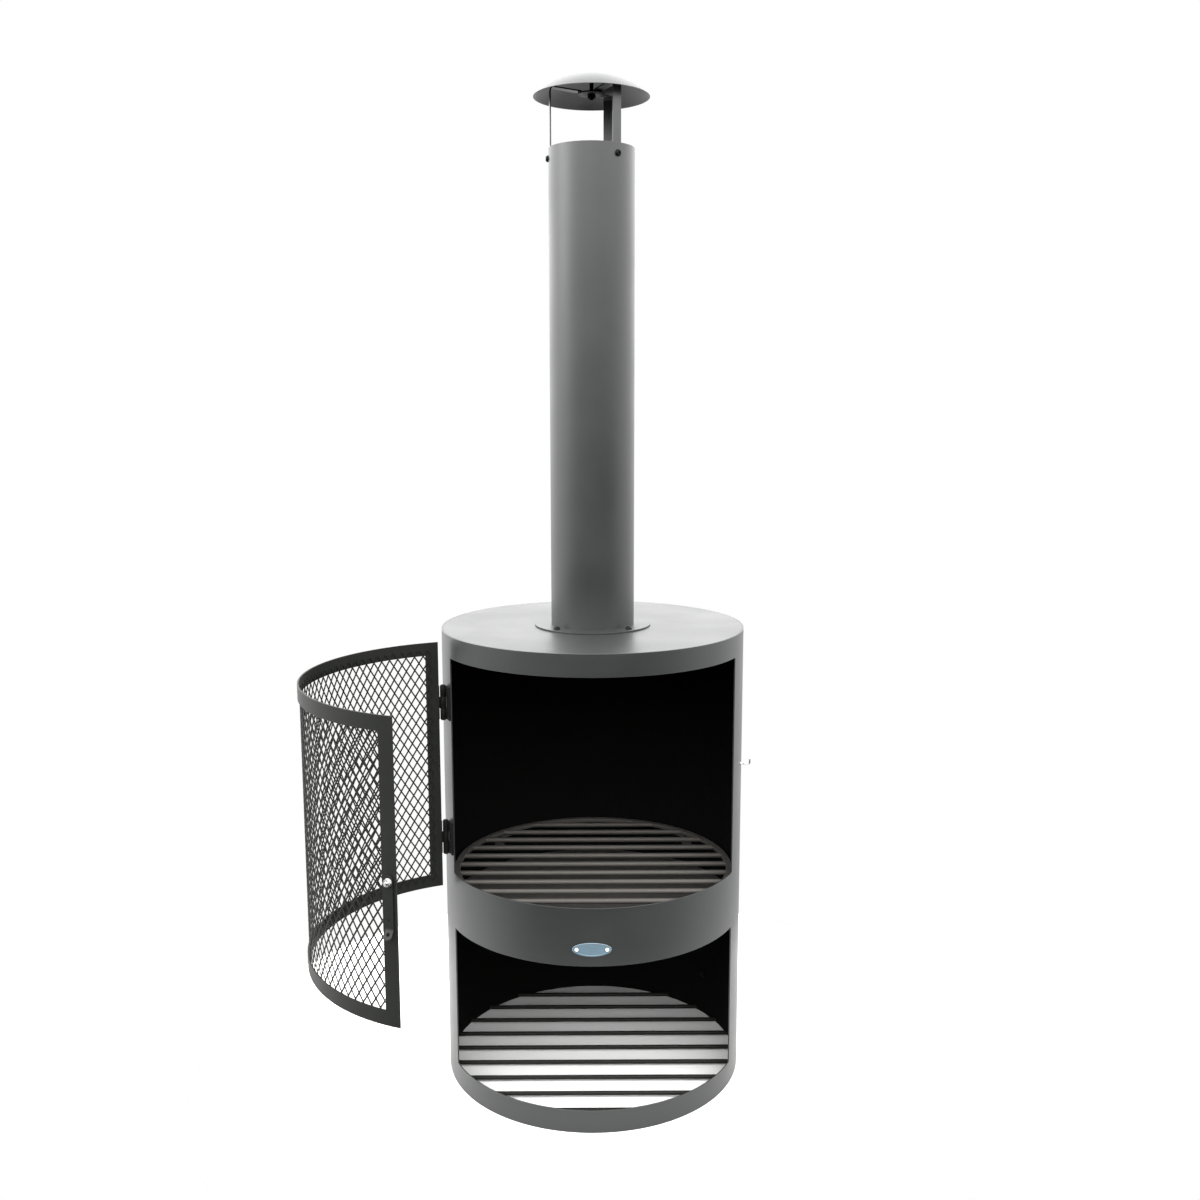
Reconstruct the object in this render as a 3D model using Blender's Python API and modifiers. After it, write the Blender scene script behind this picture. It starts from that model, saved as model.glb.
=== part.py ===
"""Wood burning stove: an open drum stove with a mesh door, a log store and a capped chimney.

Units are metres, +Z is up. Every piece is drawn about the drum's own axis, which is the
stove_axis empty: the front of the stove looks along -Y, and an azimuth is counted in degrees
from the front towards +X. The world's origin is the middle of the stove's footprint on the
floor, with the door open as it stands at rest.
"""

import math

import bmesh
import bpy
from mathutils import Matrix, Vector

GAP = 0.0003

# Drum: one rolled sheet with two cut-outs at the front.
DRUM_R = 0.228
DRUM_HEIGHT = 0.697
DRUM_SHEET = 0.002
DRUM_INNER_R = DRUM_R - DRUM_SHEET
CUT_HALF_ANGLE = 65.0
CUTTER_REACH = (0.08, 0.03)
FIRE_CUT = (0.3377, 0.6643)
LOG_CUT = (0.0345, 0.2523)
TOP_PLATE_T = 0.002
FLOOR_Z = 0.254
FLOOR_T = 0.002

# Base bars: round rods that run left to right across the bottom of the log store.
BASE_BAR_COUNT = 9
BASE_BAR_PITCH = 0.045
BASE_BAR_R = 0.0032
BASE_BAR_Z = 0.007

# Fire grate: a ring with round bars, which lies loose on four tabs.
GRATE_Z = 0.315
GRATE_RING = (0.207, 0.216)
GRATE_RING_T = 0.006
GRATE_BAR_R = 0.004
GRATE_BAR_PITCH = 0.03675
GRATE_BARS_EACH_SIDE = 5
GRATE_BAR_STEPS = 12
TAB_AZIMUTHS = (45.0, 135.0, -135.0, -45.0)
TAB_T = 0.002
TAB_WIDTH = 0.020
TAB_LEG = 0.025
TAB_REACH = 0.021
TAB_WALL_GAP = 0.0005

# Chimney: a straight pipe on a bolted flange.
PIPE_R = 0.0625
PIPE_WALL = 0.001
PIPE_TOP = 1.3885
FLANGE_R = 0.0874
FLANGE_T = 0.002
FLUE_HOLE_R = 0.0605
FLANGE_BOLT_CIRCLE_R = 0.075
FLANGE_BOLT_AZIMUTHS = (45.0, 135.0, -135.0, -45.0)

# Rain cap: a shallow dome on three bent strips that stand inside the pipe.
DOME_RIM_R = 0.0836
DOME_RIM_Z = 1.4593
DOME_RISE = 0.0325
DOME_T = 0.0015
LEG_AZIMUTHS = (36.0, 156.0, -84.0)
LEG_R = 0.0595
LEG_T = 0.002
LEG_WIDTH = 0.014
LEG_FOOT_Z = 1.358
LEG_SCREW_Z = 1.374
LEG_BEND_Z = 1.468
LEG_TAB = ((0.0570, 1.4715), (0.0150, 1.4660))
HUB_R = 0.020
HUB_Z = 1.4625
HUB_T = 0.002
STUD_FOOT_Z = 1.4555
STUD_R = 0.003
STUD_HOLE_R = 0.0033
CAP_NUT_CORNER_R = 0.0058
CAP_NUT_T = 0.0045

# Door: drawn shut about the drum's axis, then swung open about its hinges.
DOOR_OPEN = 90.0
DOOR_R = 0.2318
DOOR_SHEET = 0.002
DOOR_Z = (0.3150, 0.6863)
DOOR_START = -68.3
DOOR_END = 68.9
DOOR_BAR = 0.019
WINDOW_CUTTER_REACH = 0.01
MESH_R = 0.2303
MESH_T = 0.0012
MESH_SPAN = (-65.9, 65.2)
MESH_Z = (0.3240, 0.6773)
MESH_CELLS_ROUND = 10
MESH_CELLS_UP = 6
MESH_STRAND = 0.0045

# Hinges: two butt hinges with three knuckles and a loose pin each.
HINGE_R = 0.2340
HINGE_AZIMUTH = -69.9
HINGE_MIDDLES = {"upper": 0.5955, "lower": 0.3898}
HINGE_HEIGHT = 0.050
KNUCKLE_R = 0.0045
KNUCKLE_HEIGHT = 0.0162
KNUCKLE_OVERLAP = 0.0022
LEAF_T = 0.0015
LEAF_CLEARANCE = 0.0008
WEB_PAST_PIN = 0.0012
WEB_OVERLAP_ANGLE = 0.4
BODY_LEAF_EDGE = -65.8
DOOR_LEAF_REACH = 0.021
PIN_R = 0.0020
PIN_PLAY = 0.0001
PIN_HEAD_R = 0.0034
PIN_HEAD_T = 0.0012
BORE_OVERSHOOT = 0.01

# Latch: a notched strip on the door's free edge, which hooks over a bent peg on the drum.
LATCH_Z = 0.492
LATCH_AZIMUTH = 66.6
LATCH_T = 0.0015
LATCH_WIDTH = 0.011
LATCH_HEAD = 0.008
LATCH_STRAIGHT = 0.057
LATCH_NOTCH_AT = 0.046
LATCH_NOTCH_WIDTH = 0.004
LATCH_NOTCH_PAST_MIDDLE = 0.0015
LATCH_TAB = 0.013
LATCH_TAB_SLOPE = 35.0
LATCH_TAB_HOLE_R = 0.0022
LATCH_BOLT_HEAD = (0.0040, 0.0009)
LATCH_BOLT_CHAMFER = 0.0005
LATCH_BOLT_TIP = 0.0010
LATCH_WASHER = (0.0052, 0.0008)
LATCH_NUT_T = 0.0035
PEG_WIRE_R = 0.0012
PEG_REACH_R = 0.2418
PEG_TIP = 0.009
PEG_BEND_ANGLES = (0.0, 30.0, 60.0, 90.0)

# Nameplate: a plain oval that follows the drum.
PLATE_AZIMUTH = -0.5
PLATE_Z = 0.2775
PLATE_WIDTH = 0.055
PLATE_HEIGHT = 0.020
PLATE_T = 0.001
RIVET_SPREAD = 0.0213
RIVET_R = 0.0014
RIVET_HEAD = (0.0026, 0.0012)
RIVET_SHANK = -0.0055
PLATE_OVAL_STEPS = 40
PLATE_SPREAD = 0.6

# A bolt through the drum's wall, low inside the log store.
WALL_BOLT_AZIMUTH = 124.0
WALL_BOLT_Z = 0.0705
WALL_BOLT_HEAD = (0.0048, 0.0030)
WALL_BOLT_SHANK = -0.0090
WALL_NUT_T = 0.0038

# How finely round shapes are divided: steps to a turn, and degrees to a step of a sector.
ROUND_STEPS = 72
PIPE_STEPS = 48
SMALL_STEPS = 16
PIN_STEPS = 24
DOME_STEPS = 7
ARC_STEP = 5.0
HUB_STEPS = 32

# Fasteners: bolts as (head radius, head height) and how far their shanks reach, and nuts.
BOLT_R = 0.0025
BOLT_HOLE_R = 0.0029
NUT_CORNER_R = 0.0046
FLANGE_BOLT_HEAD = (0.0048, 0.0032)
FLANGE_BOLT_SHANK = -0.011
FLANGE_NUT_T = 0.004
CAP_SCREW_HEAD = (0.0047, 0.0034)
CAP_SCREW_SHANK = -0.0095
CAP_SCREW_NUT_T = 0.0034

COATING = ((0.062, 0.068, 0.065), 0.45, 0.6)
BLACK_STEEL = ((0.012, 0.012, 0.012), 0.45, 0.7)
DARK_IRON = ((0.030, 0.029, 0.028), 0.75, 0.8)
ZINC = ((0.55, 0.55, 0.53), 0.35, 1.0)
PLATE_BLUE = ((0.30, 0.42, 0.50), 0.30, 0.8)


def clear_scene():
    """Remove every object, mesh, curve, material and collection that the file holds."""
    for item in list(bpy.data.objects):
        bpy.data.objects.remove(item)
    for store in (bpy.data.meshes, bpy.data.curves, bpy.data.materials, bpy.data.collections):
        for item in list(store):
            store.remove(item)


def collection(name):
    """A new collection in the scene."""
    made = bpy.data.collections.new(name)
    bpy.context.scene.collection.children.link(made)
    return made


def material(name, finish):
    """The one Principled material of the piece called name."""
    (red, green, blue), roughness, metallic = finish
    made = bpy.data.materials.new(name)
    made.use_nodes = True
    shader = made.node_tree.nodes["Principled BSDF"]
    shader.inputs["Base Color"].default_value = (red, green, blue, 1.0)
    shader.inputs["Roughness"].default_value = roughness
    shader.inputs["Metallic"].default_value = metallic
    made.diffuse_color = (red, green, blue, 1.0)
    return made


def around(radius, azimuth, z=0.0):
    """The point at a radius, azimuth and height about the drum's axis."""
    angle = math.radians(azimuth)
    return Vector((radius * math.sin(angle), -radius * math.cos(angle), z))


def flange_bolt_holes():
    """The outlines of the flange's bolt holes, seen from above."""
    centres = [around(FLANGE_BOLT_CIRCLE_R, azimuth) for azimuth in FLANGE_BOLT_AZIMUTHS]
    return [circle(BOLT_HOLE_R, SMALL_STEPS, centre) for centre in centres]


def degrees_for(length, radius):
    """The angle in degrees that an arc of the given length spans."""
    return math.degrees(length / radius)


def outward(radius, azimuth, z):
    """Places a shape so that its +Z points away from the drum's axis, +Y up and +X round it."""
    angle = math.radians(azimuth)
    along = Vector((math.cos(angle), math.sin(angle), 0.0))
    away = Vector((math.sin(angle), -math.cos(angle), 0.0))
    place = Matrix((along, Vector((0.0, 0.0, 1.0)), away)).transposed().to_4x4()
    place.translation = around(radius, azimuth, z)
    return place


def sideways(azimuth):
    """Turns a side outline drawn as (radius, height), with its width along Z, to an azimuth."""
    angle = math.radians(azimuth)
    away = Vector((math.sin(angle), -math.cos(angle), 0.0))
    across = away.cross(Vector((0.0, 0.0, 1.0)))
    return Matrix((away, Vector((0.0, 0.0, 1.0)), across)).transposed().to_4x4()


def circle(radius, steps, centre=(0.0, 0.0)):
    """The points of a circle."""
    turns = [2.0 * math.pi * step / steps for step in range(steps)]
    spokes = [(radius * math.cos(turn), radius * math.sin(turn)) for turn in turns]
    return [(centre[0] + x, centre[1] + y) for x, y in spokes]


def sector(inner, outer, start, end):
    """The outline of a ring sector seen from above, between two azimuths."""
    count = max(1, math.ceil((end - start) / ARC_STEP))
    azimuths = [start + (end - start) * step / count for step in range(count + 1)]
    outside = [tuple(around(outer, azimuth).xy) for azimuth in azimuths]
    inside = [tuple(around(inner, azimuth).xy) for azimuth in reversed(azimuths)]
    return outside + inside


def strip_outline(path, thickness):
    """The outline of a thin strip whose middle line is the path."""
    points = [Vector(point) for point in path]
    left = []
    right = []
    for index, point in enumerate(points):
        before = (point - points[index - 1]).normalized() if index > 0 else None
        after = (points[index + 1] - point).normalized() if index < len(points) - 1 else None
        run = ((before or after) + (after or before)).normalized()
        side = Vector((-run.y, run.x))
        miter = thickness / 2 / (run.dot(after or before))
        left.append(tuple(point + side * miter))
        right.append(tuple(point - side * miter))
    return left + right[::-1]


def weld(mesh):
    """Close a mesh's seams and turn its faces outwards."""
    work = bmesh.new()
    work.from_mesh(mesh)
    bmesh.ops.remove_doubles(work, verts=work.verts, dist=1e-6)
    bmesh.ops.recalc_face_normals(work, faces=work.faces)
    work.to_mesh(mesh)
    work.free()
    return mesh


def mesh_of_curve(name, curve):
    """The welded mesh of a curve."""
    source = bpy.data.objects.new(name, curve)
    bpy.context.scene.collection.objects.link(source)
    evaluated = source.evaluated_get(bpy.context.evaluated_depsgraph_get())
    mesh = weld(bpy.data.meshes.new_from_object(evaluated))
    mesh.name = name
    bpy.data.objects.remove(source)
    return mesh


def flat_mesh(name, loops, low, high):
    """A flat outline, with holes if there are more loops, from height low to height high."""
    curve = bpy.data.curves.new(name, "CURVE")
    curve.dimensions = "2D"
    curve.fill_mode = "BOTH"
    curve.extrude = (high - low) / 2
    for loop in loops:
        spline = curve.splines.new("POLY")
        spline.points.add(len(loop) - 1)
        spline.use_cyclic_u = True
        for point, (x, y) in zip(spline.points, loop):
            point.co = (x, y, 0.0, 1.0)
    mesh = mesh_of_curve(name, curve)
    mesh.transform(Matrix.Translation((0.0, 0.0, (low + high) / 2)))
    return mesh


def wire_mesh(name, path, radius):
    """A round wire along a path, with closed ends."""
    curve = bpy.data.curves.new(name, "CURVE")
    curve.dimensions = "3D"
    curve.bevel_depth = radius
    curve.bevel_resolution = 2
    curve.use_fill_caps = True
    spline = curve.splines.new("POLY")
    spline.points.add(len(path) - 1)
    for point, place in zip(spline.points, path):
        point.co = (*place, 1.0)
    return mesh_of_curve(name, curve)


def rod_mesh(name, radius, low, high, steps=SMALL_STEPS):
    """A round rod along Z from low to high."""
    mesh = bpy.data.meshes.new(name)
    work = bmesh.new()
    middle = Matrix.Translation((0.0, 0.0, (low + high) / 2))
    bmesh.ops.create_cone(
        work,
        cap_ends=True,
        segments=steps,
        radius1=radius,
        radius2=radius,
        depth=high - low,
        matrix=middle,
    )
    work.to_mesh(mesh)
    work.free()
    return mesh


class Builder:
    """Makes the stove's pieces and cutters, and keeps their collections and parents."""

    def __init__(self):
        self.pieces = collection("wood_burning_stove")
        self.cutters = collection("cutters")

    def empty(self, name, place, parent=None):
        """An axis that pieces are parented to."""
        made = bpy.data.objects.new(name, None)
        self.pieces.objects.link(made)
        made.parent = parent
        made.matrix_local = place
        return made

    def piece(self, name, mesh, finish, parent, place=None):
        """One named piece with its own material."""
        made = bpy.data.objects.new(name, mesh)
        mesh.materials.clear()
        mesh.materials.append(material(name, finish))
        mesh.shade_smooth()
        mesh.set_sharp_from_angle(angle=math.radians(35.0))
        self.pieces.objects.link(made)
        made.parent = parent
        made.matrix_local = place or Matrix()
        return made

    def turned(self, name, profile, finish, parent, place=None, steps=SMALL_STEPS):
        """A turned piece: the profile of (radius, height) points runs down its outer side."""
        mesh = bpy.data.meshes.new(name)
        closed = profile[0][0] > 0.0
        ends = len(profile) if closed else len(profile) - 1
        edges = [(index, (index + 1) % len(profile)) for index in range(ends)]
        mesh.from_pydata([(radius, 0.0, height) for radius, height in profile], edges, [])
        made = self.piece(name, mesh, finish, parent, place)
        screw = made.modifiers.new("turn", "SCREW")
        screw.steps = steps
        screw.render_steps = steps
        screw.use_merge_vertices = True
        screw.merge_threshold = 1e-5
        screw.use_smooth_shade = True
        return made

    def helper(self, name, mesh, parent, place=None):
        """A shape that is only cut from, joined to or crossed with a piece."""
        made = bpy.data.objects.new(name, mesh)
        self.cutters.objects.link(made)
        made.parent = parent
        made.matrix_local = place or Matrix()
        made.hide_render = True
        made.display_type = "WIRE"
        return made

    def boolean(self, piece, operation, name, mesh, place=None):
        """Combine a piece with a helper that shares the piece's parent."""
        other = self.helper(name, mesh, piece.parent, place)
        modifier = piece.modifiers.new(name, "BOOLEAN")
        modifier.operation = operation
        modifier.solver = "EXACT"
        modifier.object = other

    def drill(self, piece, name, radius, place, depth=0.012):
        """A round hole along the place's Z axis."""
        self.boolean(piece, "DIFFERENCE", name, rod_mesh(name, radius, -depth, depth), place)


def pan_bolt(build, name, finish, parent, place, head, shank_to, shank_r=BOLT_R):
    """A round-headed bolt: its seat is at z 0, its head above and its shank down to shank_to."""
    head_r, head_t = head
    profile = [
        (0.0, head_t),
        (head_r * 0.55, head_t * 0.92),
        (head_r * 0.88, head_t * 0.62),
        (head_r, head_t * 0.20),
        (head_r, 0.0),
        (shank_r, 0.0),
        (shank_r, shank_to),
        (0.0, shank_to),
    ]
    return build.turned(name, profile, finish, parent, place)


def hex_nut(build, name, finish, parent, place, low, high, corner_r=NUT_CORNER_R, hole_r=BOLT_HOLE_R):
    """A hexagonal nut between two heights on its own axis."""
    loops = [circle(corner_r, 6), circle(hole_r, SMALL_STEPS)]
    return build.piece(name, flat_mesh(name, loops, low, high), finish, parent, place)


def make_drum(build, axis):
    """The rolled drum with its fire and log cut-outs."""
    profile = [
        (DRUM_R, DRUM_HEIGHT),
        (DRUM_R, 0.0),
        (DRUM_INNER_R, 0.0),
        (DRUM_INNER_R, DRUM_HEIGHT),
    ]
    drum = build.turned("body_drum", profile, COATING, axis, steps=ROUND_STEPS)
    inward, past = CUTTER_REACH
    cutter_r = (DRUM_R - inward, DRUM_R + past)
    for name, (low, high) in (("fire_cut", FIRE_CUT), ("log_cut", LOG_CUT)):
        outline = sector(*cutter_r, -CUT_HALF_ANGLE, CUT_HALF_ANGLE)
        build.boolean(drum, "DIFFERENCE", name, flat_mesh(name, [outline], low, high))
    for side in (-1, 1):
        place = outward(DRUM_R, rivet_azimuth(side), PLATE_Z)
        build.drill(drum, f"rivet_hole_{side}", RIVET_R + GAP, place)
    place = outward(DRUM_R, WALL_BOLT_AZIMUTH, WALL_BOLT_Z)
    build.drill(drum, "wall_bolt_hole", BOLT_HOLE_R, place)


def make_plates(build, axis):
    """The top plate with its flue hole, and the floor of the fire chamber."""
    plate_r = DRUM_INNER_R - GAP
    loops = [circle(plate_r, ROUND_STEPS), circle(FLUE_HOLE_R, PIPE_STEPS), *flange_bolt_holes()]
    mesh = flat_mesh("top_plate", loops, DRUM_HEIGHT - TOP_PLATE_T, DRUM_HEIGHT)
    build.piece("top_plate", mesh, COATING, axis)
    mesh = flat_mesh("firebox_floor", [circle(plate_r, ROUND_STEPS)], FLOOR_Z, FLOOR_Z + FLOOR_T)
    build.piece("firebox_floor", mesh, DARK_IRON, axis)


def make_base_bars(build, axis):
    """Rods across the bottom of the log store, each ending just short of the wall."""
    wall = DRUM_INNER_R * math.cos(math.pi / ROUND_STEPS) - GAP
    for number in range(BASE_BAR_COUNT):
        y = (number - (BASE_BAR_COUNT - 1) / 2) * BASE_BAR_PITCH
        half = math.sqrt(wall**2 - (abs(y) + BASE_BAR_R) ** 2)
        name = f"base_bar_{number + 1}"
        place = Matrix.Translation((0.0, y, BASE_BAR_Z)) @ Matrix.Rotation(math.pi / 2, 4, "Y")
        build.piece(name, rod_mesh(name, BASE_BAR_R, -half, half), COATING, axis, place)


def make_grate(build, axis):
    """The loose fire grate, and the tabs welded to the wall that it lies on."""
    low = GRATE_Z - GRATE_RING_T / 2
    high = GRATE_Z + GRATE_RING_T / 2
    inner, outer = GRATE_RING
    grate_axis = build.empty("grate_axis", Matrix.Translation((0.0, 0.0, low)), axis)
    loops = [circle(outer, PIPE_STEPS), circle(inner, PIPE_STEPS)]
    ring = flat_mesh("fire_grate", loops, 0.0, high - low)
    grate = build.piece("fire_grate", ring, DARK_IRON, grate_axis)
    for number in range(-GRATE_BARS_EACH_SIDE, GRATE_BARS_EACH_SIDE + 1):
        y = number * GRATE_BAR_PITCH
        half = math.sqrt(((inner + outer) / 2) ** 2 - y**2)
        name = f"grate_rod_{number}"
        place = Matrix.Translation((0.0, y, GRATE_Z - low)) @ Matrix.Rotation(math.pi / 2, 4, "Y")
        bar = rod_mesh(name, GRATE_BAR_R, -half, half, GRATE_BAR_STEPS)
        build.boolean(grate, "UNION", name, bar, place)
    shelf_z = GRATE_Z - GRATE_BAR_R - GAP - TAB_T / 2
    wall_r = DRUM_INNER_R - TAB_WALL_GAP - TAB_T / 2
    path = [(wall_r, shelf_z - TAB_LEG), (wall_r, shelf_z), (wall_r - TAB_REACH, shelf_z)]
    for number, azimuth in enumerate(TAB_AZIMUTHS):
        name = f"grate_tab_{number + 1}"
        mesh = flat_mesh(name, [strip_outline(path, TAB_T)], -TAB_WIDTH / 2, TAB_WIDTH / 2)
        build.piece(name, mesh, DARK_IRON, axis, sideways(azimuth))


def make_chimney(build, axis):
    """The pipe, its flange and the flange's bolts and nuts."""
    foot = DRUM_HEIGHT + GAP
    inner = PIPE_R - PIPE_WALL
    profile = [(PIPE_R, PIPE_TOP), (PIPE_R, foot), (inner, foot), (inner, PIPE_TOP)]
    pipe = build.turned("chimney_pipe", profile, COATING, axis, steps=PIPE_STEPS)
    for azimuth in LEG_AZIMUTHS:
        place = outward(PIPE_R, azimuth, LEG_SCREW_Z)
        build.drill(pipe, f"pipe_hole_{azimuth:.0f}", BOLT_HOLE_R, place)
    loops = [circle(FLANGE_R, PIPE_STEPS), circle(PIPE_R + GAP, PIPE_STEPS), *flange_bolt_holes()]
    mesh = flat_mesh("chimney_flange", loops, foot, foot + FLANGE_T)
    build.piece("chimney_flange", mesh, COATING, axis)
    for number, azimuth in enumerate(FLANGE_BOLT_AZIMUTHS):
        centre = around(FLANGE_BOLT_CIRCLE_R, azimuth)
        place = Matrix.Translation(centre + Vector((0.0, 0.0, foot + FLANGE_T + GAP)))
        name = f"flange_bolt_{number + 1}"
        pan_bolt(build, name, BLACK_STEEL, axis, place, FLANGE_BOLT_HEAD, FLANGE_BOLT_SHANK)
        name = f"flange_nut_{number + 1}"
        top = DRUM_HEIGHT - TOP_PLATE_T - GAP
        place = Matrix.Translation(centre)
        hex_nut(build, name, BLACK_STEEL, axis, place, top - FLANGE_NUT_T, top)


def dome_profile():
    """The dome's section: down the outside from the crown to the rim, and back up the inside."""
    outer_ball = (DOME_RIM_R**2 + DOME_RISE**2) / (2 * DOME_RISE)
    inner_ball = outer_ball - DOME_T
    centre_z = DOME_RIM_Z + DOME_RISE - outer_ball
    rim_angle = math.asin(DOME_RIM_R / outer_ball)
    inner_angle = math.acos((DOME_RIM_Z - centre_z) / inner_ball)
    outside = [(outer_ball, rim_angle * step / DOME_STEPS) for step in range(DOME_STEPS + 1)]
    inside = [(inner_ball, inner_angle * step / DOME_STEPS) for step in range(DOME_STEPS, -1, -1)]
    spokes = outside + inside
    return [(ball * math.sin(angle), centre_z + ball * math.cos(angle)) for ball, angle in spokes]


def make_rain_cap(build, axis):
    """The dome, its stud, hub and nut, and the three legs with their screws and nuts."""
    build.turned("cap_dome", dome_profile(), COATING, axis, steps=PIPE_STEPS)
    loops = [circle(HUB_R, HUB_STEPS), circle(STUD_HOLE_R, SMALL_STEPS)]
    build.piece("cap_hub", flat_mesh("cap_hub", loops, HUB_Z, HUB_Z + HUB_T), COATING, axis)
    crown = DOME_RIM_Z + DOME_RISE - DOME_T - GAP
    stud = [(0.0, crown), (STUD_R, crown), (STUD_R, STUD_FOOT_Z), (0.0, STUD_FOOT_Z)]
    build.turned("cap_stud", stud, ZINC, axis)
    top = HUB_Z - GAP
    hex_nut(build, "cap_nut", ZINC, axis, None, top - CAP_NUT_T, top, CAP_NUT_CORNER_R, STUD_HOLE_R)
    path = [(LEG_R, LEG_FOOT_Z), (LEG_R, LEG_BEND_Z), *LEG_TAB]
    for number, azimuth in enumerate(LEG_AZIMUTHS):
        name = f"cap_leg_{number + 1}"
        mesh = flat_mesh(name, [strip_outline(path, LEG_T)], -LEG_WIDTH / 2, LEG_WIDTH / 2)
        leg = build.piece(name, mesh, COATING, axis, sideways(azimuth))
        place = outward(LEG_R, azimuth, LEG_SCREW_Z)
        build.drill(leg, f"leg_hole_{number}", BOLT_HOLE_R, place)
        name = f"cap_screw_{number + 1}"
        place = outward(PIPE_R + GAP, azimuth, LEG_SCREW_Z)
        pan_bolt(build, name, BLACK_STEEL, axis, place, CAP_SCREW_HEAD, CAP_SCREW_SHANK)
        name = f"cap_screw_nut_{number + 1}"
        place = outward(LEG_R - LEG_T / 2 - GAP, azimuth, LEG_SCREW_Z)
        hex_nut(build, name, BLACK_STEEL, axis, place, -CAP_SCREW_NUT_T, 0.0)


def hinge_point():
    """The door hinges' axis, seen from above."""
    return around(HINGE_R, HINGE_AZIMUTH)


def sheet_piece(name, radius, thickness, start, end, low, high):
    """The mesh of a curved sheet between two azimuths and two heights."""
    return flat_mesh(name, [sector(radius, radius + thickness, start, end)], low, high)


def make_hinge(build, axis, door_axis, label, middle):
    """One butt hinge: the drum's leaf with two knuckles, the door's leaf with one, and the pin."""
    low = middle - HINGE_HEIGHT / 2
    high = middle + HINGE_HEIGHT / 2
    at_hinge = Matrix.Translation(hinge_point())
    from_hinge = at_hinge.inverted()
    knuckle_gap = degrees_for(KNUCKLE_R - KNUCKLE_OVERLAP, HINGE_R)
    body_knuckles = ((low, low + KNUCKLE_HEIGHT), (high - KNUCKLE_HEIGHT, high))
    leaf_r = DRUM_R + GAP

    name = f"hinge_{label}_body_leaf"
    mesh = sheet_piece(name, leaf_r, LEAF_T, HINGE_AZIMUTH + knuckle_gap, BODY_LEAF_EDGE, low, high)
    leaf = build.piece(name, mesh, BLACK_STEEL, axis)
    for number, (foot, top) in enumerate(body_knuckles):
        web_start = HINGE_AZIMUTH - degrees_for(WEB_PAST_PIN, HINGE_R)
        web_end = HINGE_AZIMUTH + 2 * knuckle_gap
        web = sheet_piece("web", leaf_r, LEAF_T + LEAF_CLEARANCE, web_start, web_end, foot, top)
        build.boolean(leaf, "UNION", f"{label}_web_{number}", web)
        knuckle = rod_mesh("knuckle", KNUCKLE_R, foot, top)
        build.boolean(leaf, "UNION", f"{label}_knuckle_{number}", knuckle, at_hinge)
    bore_ends = (low - BORE_OVERSHOOT, high + BORE_OVERSHOOT)
    bore = rod_mesh("bore", PIN_R + PIN_PLAY, *bore_ends, PIN_STEPS)
    build.boolean(leaf, "DIFFERENCE", f"{label}_bore", bore, at_hinge)

    name = f"hinge_{label}_door_leaf"
    leaf_r = DOOR_R + DOOR_SHEET + GAP
    start = HINGE_AZIMUTH + degrees_for(KNUCKLE_R + LEAF_CLEARANCE, HINGE_R)
    end = HINGE_AZIMUTH + degrees_for(DOOR_LEAF_REACH, HINGE_R)
    mesh = sheet_piece(name, leaf_r, LEAF_T, start, end, low, high)
    mesh.transform(from_hinge)
    leaf = build.piece(name, mesh, BLACK_STEEL, door_axis)
    foot = low + KNUCKLE_HEIGHT + GAP
    top = high - KNUCKLE_HEIGHT - GAP
    web_start = HINGE_AZIMUTH + knuckle_gap
    web = sheet_piece("web", leaf_r, LEAF_T, web_start, start + WEB_OVERLAP_ANGLE, foot, top)
    web.transform(from_hinge)
    build.boolean(leaf, "UNION", f"{label}_door_web", web)
    build.boolean(leaf, "UNION", f"{label}_door_knuckle", rod_mesh("knuckle", KNUCKLE_R, foot, top))
    bore = rod_mesh("bore", PIN_R + PIN_PLAY, *bore_ends, PIN_STEPS)
    build.boolean(leaf, "DIFFERENCE", f"{label}_door_bore", bore)

    head = high + GAP
    tail = low - GAP
    pin = [
        (0.0, head + PIN_HEAD_T),
        (PIN_HEAD_R, head + PIN_HEAD_T),
        (PIN_HEAD_R, head),
        (PIN_R, head),
        (PIN_R, tail),
        (PIN_HEAD_R, tail),
        (PIN_HEAD_R, tail - PIN_HEAD_T),
        (0.0, tail - PIN_HEAD_T),
    ]
    build.turned(f"hinge_{label}_pin", pin, BLACK_STEEL, axis, at_hinge, steps=PIN_STEPS)


def door_lattice():
    """The door's mesh as an open lattice of diamond cells that share their corners."""
    start, end = MESH_SPAN
    low, high = MESH_Z
    middle_r = MESH_R + MESH_T / 2
    cell_angle = (end - start) / MESH_CELLS_ROUND
    cell_height = (high - low) / MESH_CELLS_UP
    half_width = math.radians(cell_angle) * middle_r / 2
    half_height = cell_height / 2
    inset = MESH_STRAND / 2 * math.hypot(half_width, half_height) / (half_width * half_height)
    work = bmesh.new()

    shrink = 1 - inset

    def corner(column, row):
        azimuth = start + column * cell_angle / 2
        return work.verts.new(around(middle_r, azimuth, low + row * cell_height / 2))

    def diamond(column, row):
        rim = [(column - 1, row), (column, row - 1), (column + 1, row), (column, row + 1)]
        hole = [(column + (c - column) * shrink, row + (r - row) * shrink) for c, r in rim]
        outside = [corner(*place) for place in rim]
        inside = [corner(*place) for place in hole]
        for side in range(4):
            after = (side + 1) % 4
            work.faces.new((outside[side], outside[after], inside[after], inside[side]))

    for row in range(1, 2 * MESH_CELLS_UP):
        for column in range(1, 2 * MESH_CELLS_ROUND):
            if (row + column) % 2 == 0:
                diamond(column, row)
    bmesh.ops.remove_doubles(work, verts=work.verts, dist=1e-5)
    mesh = bpy.data.meshes.new("door_mesh")
    work.to_mesh(mesh)
    work.free()
    return mesh


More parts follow.
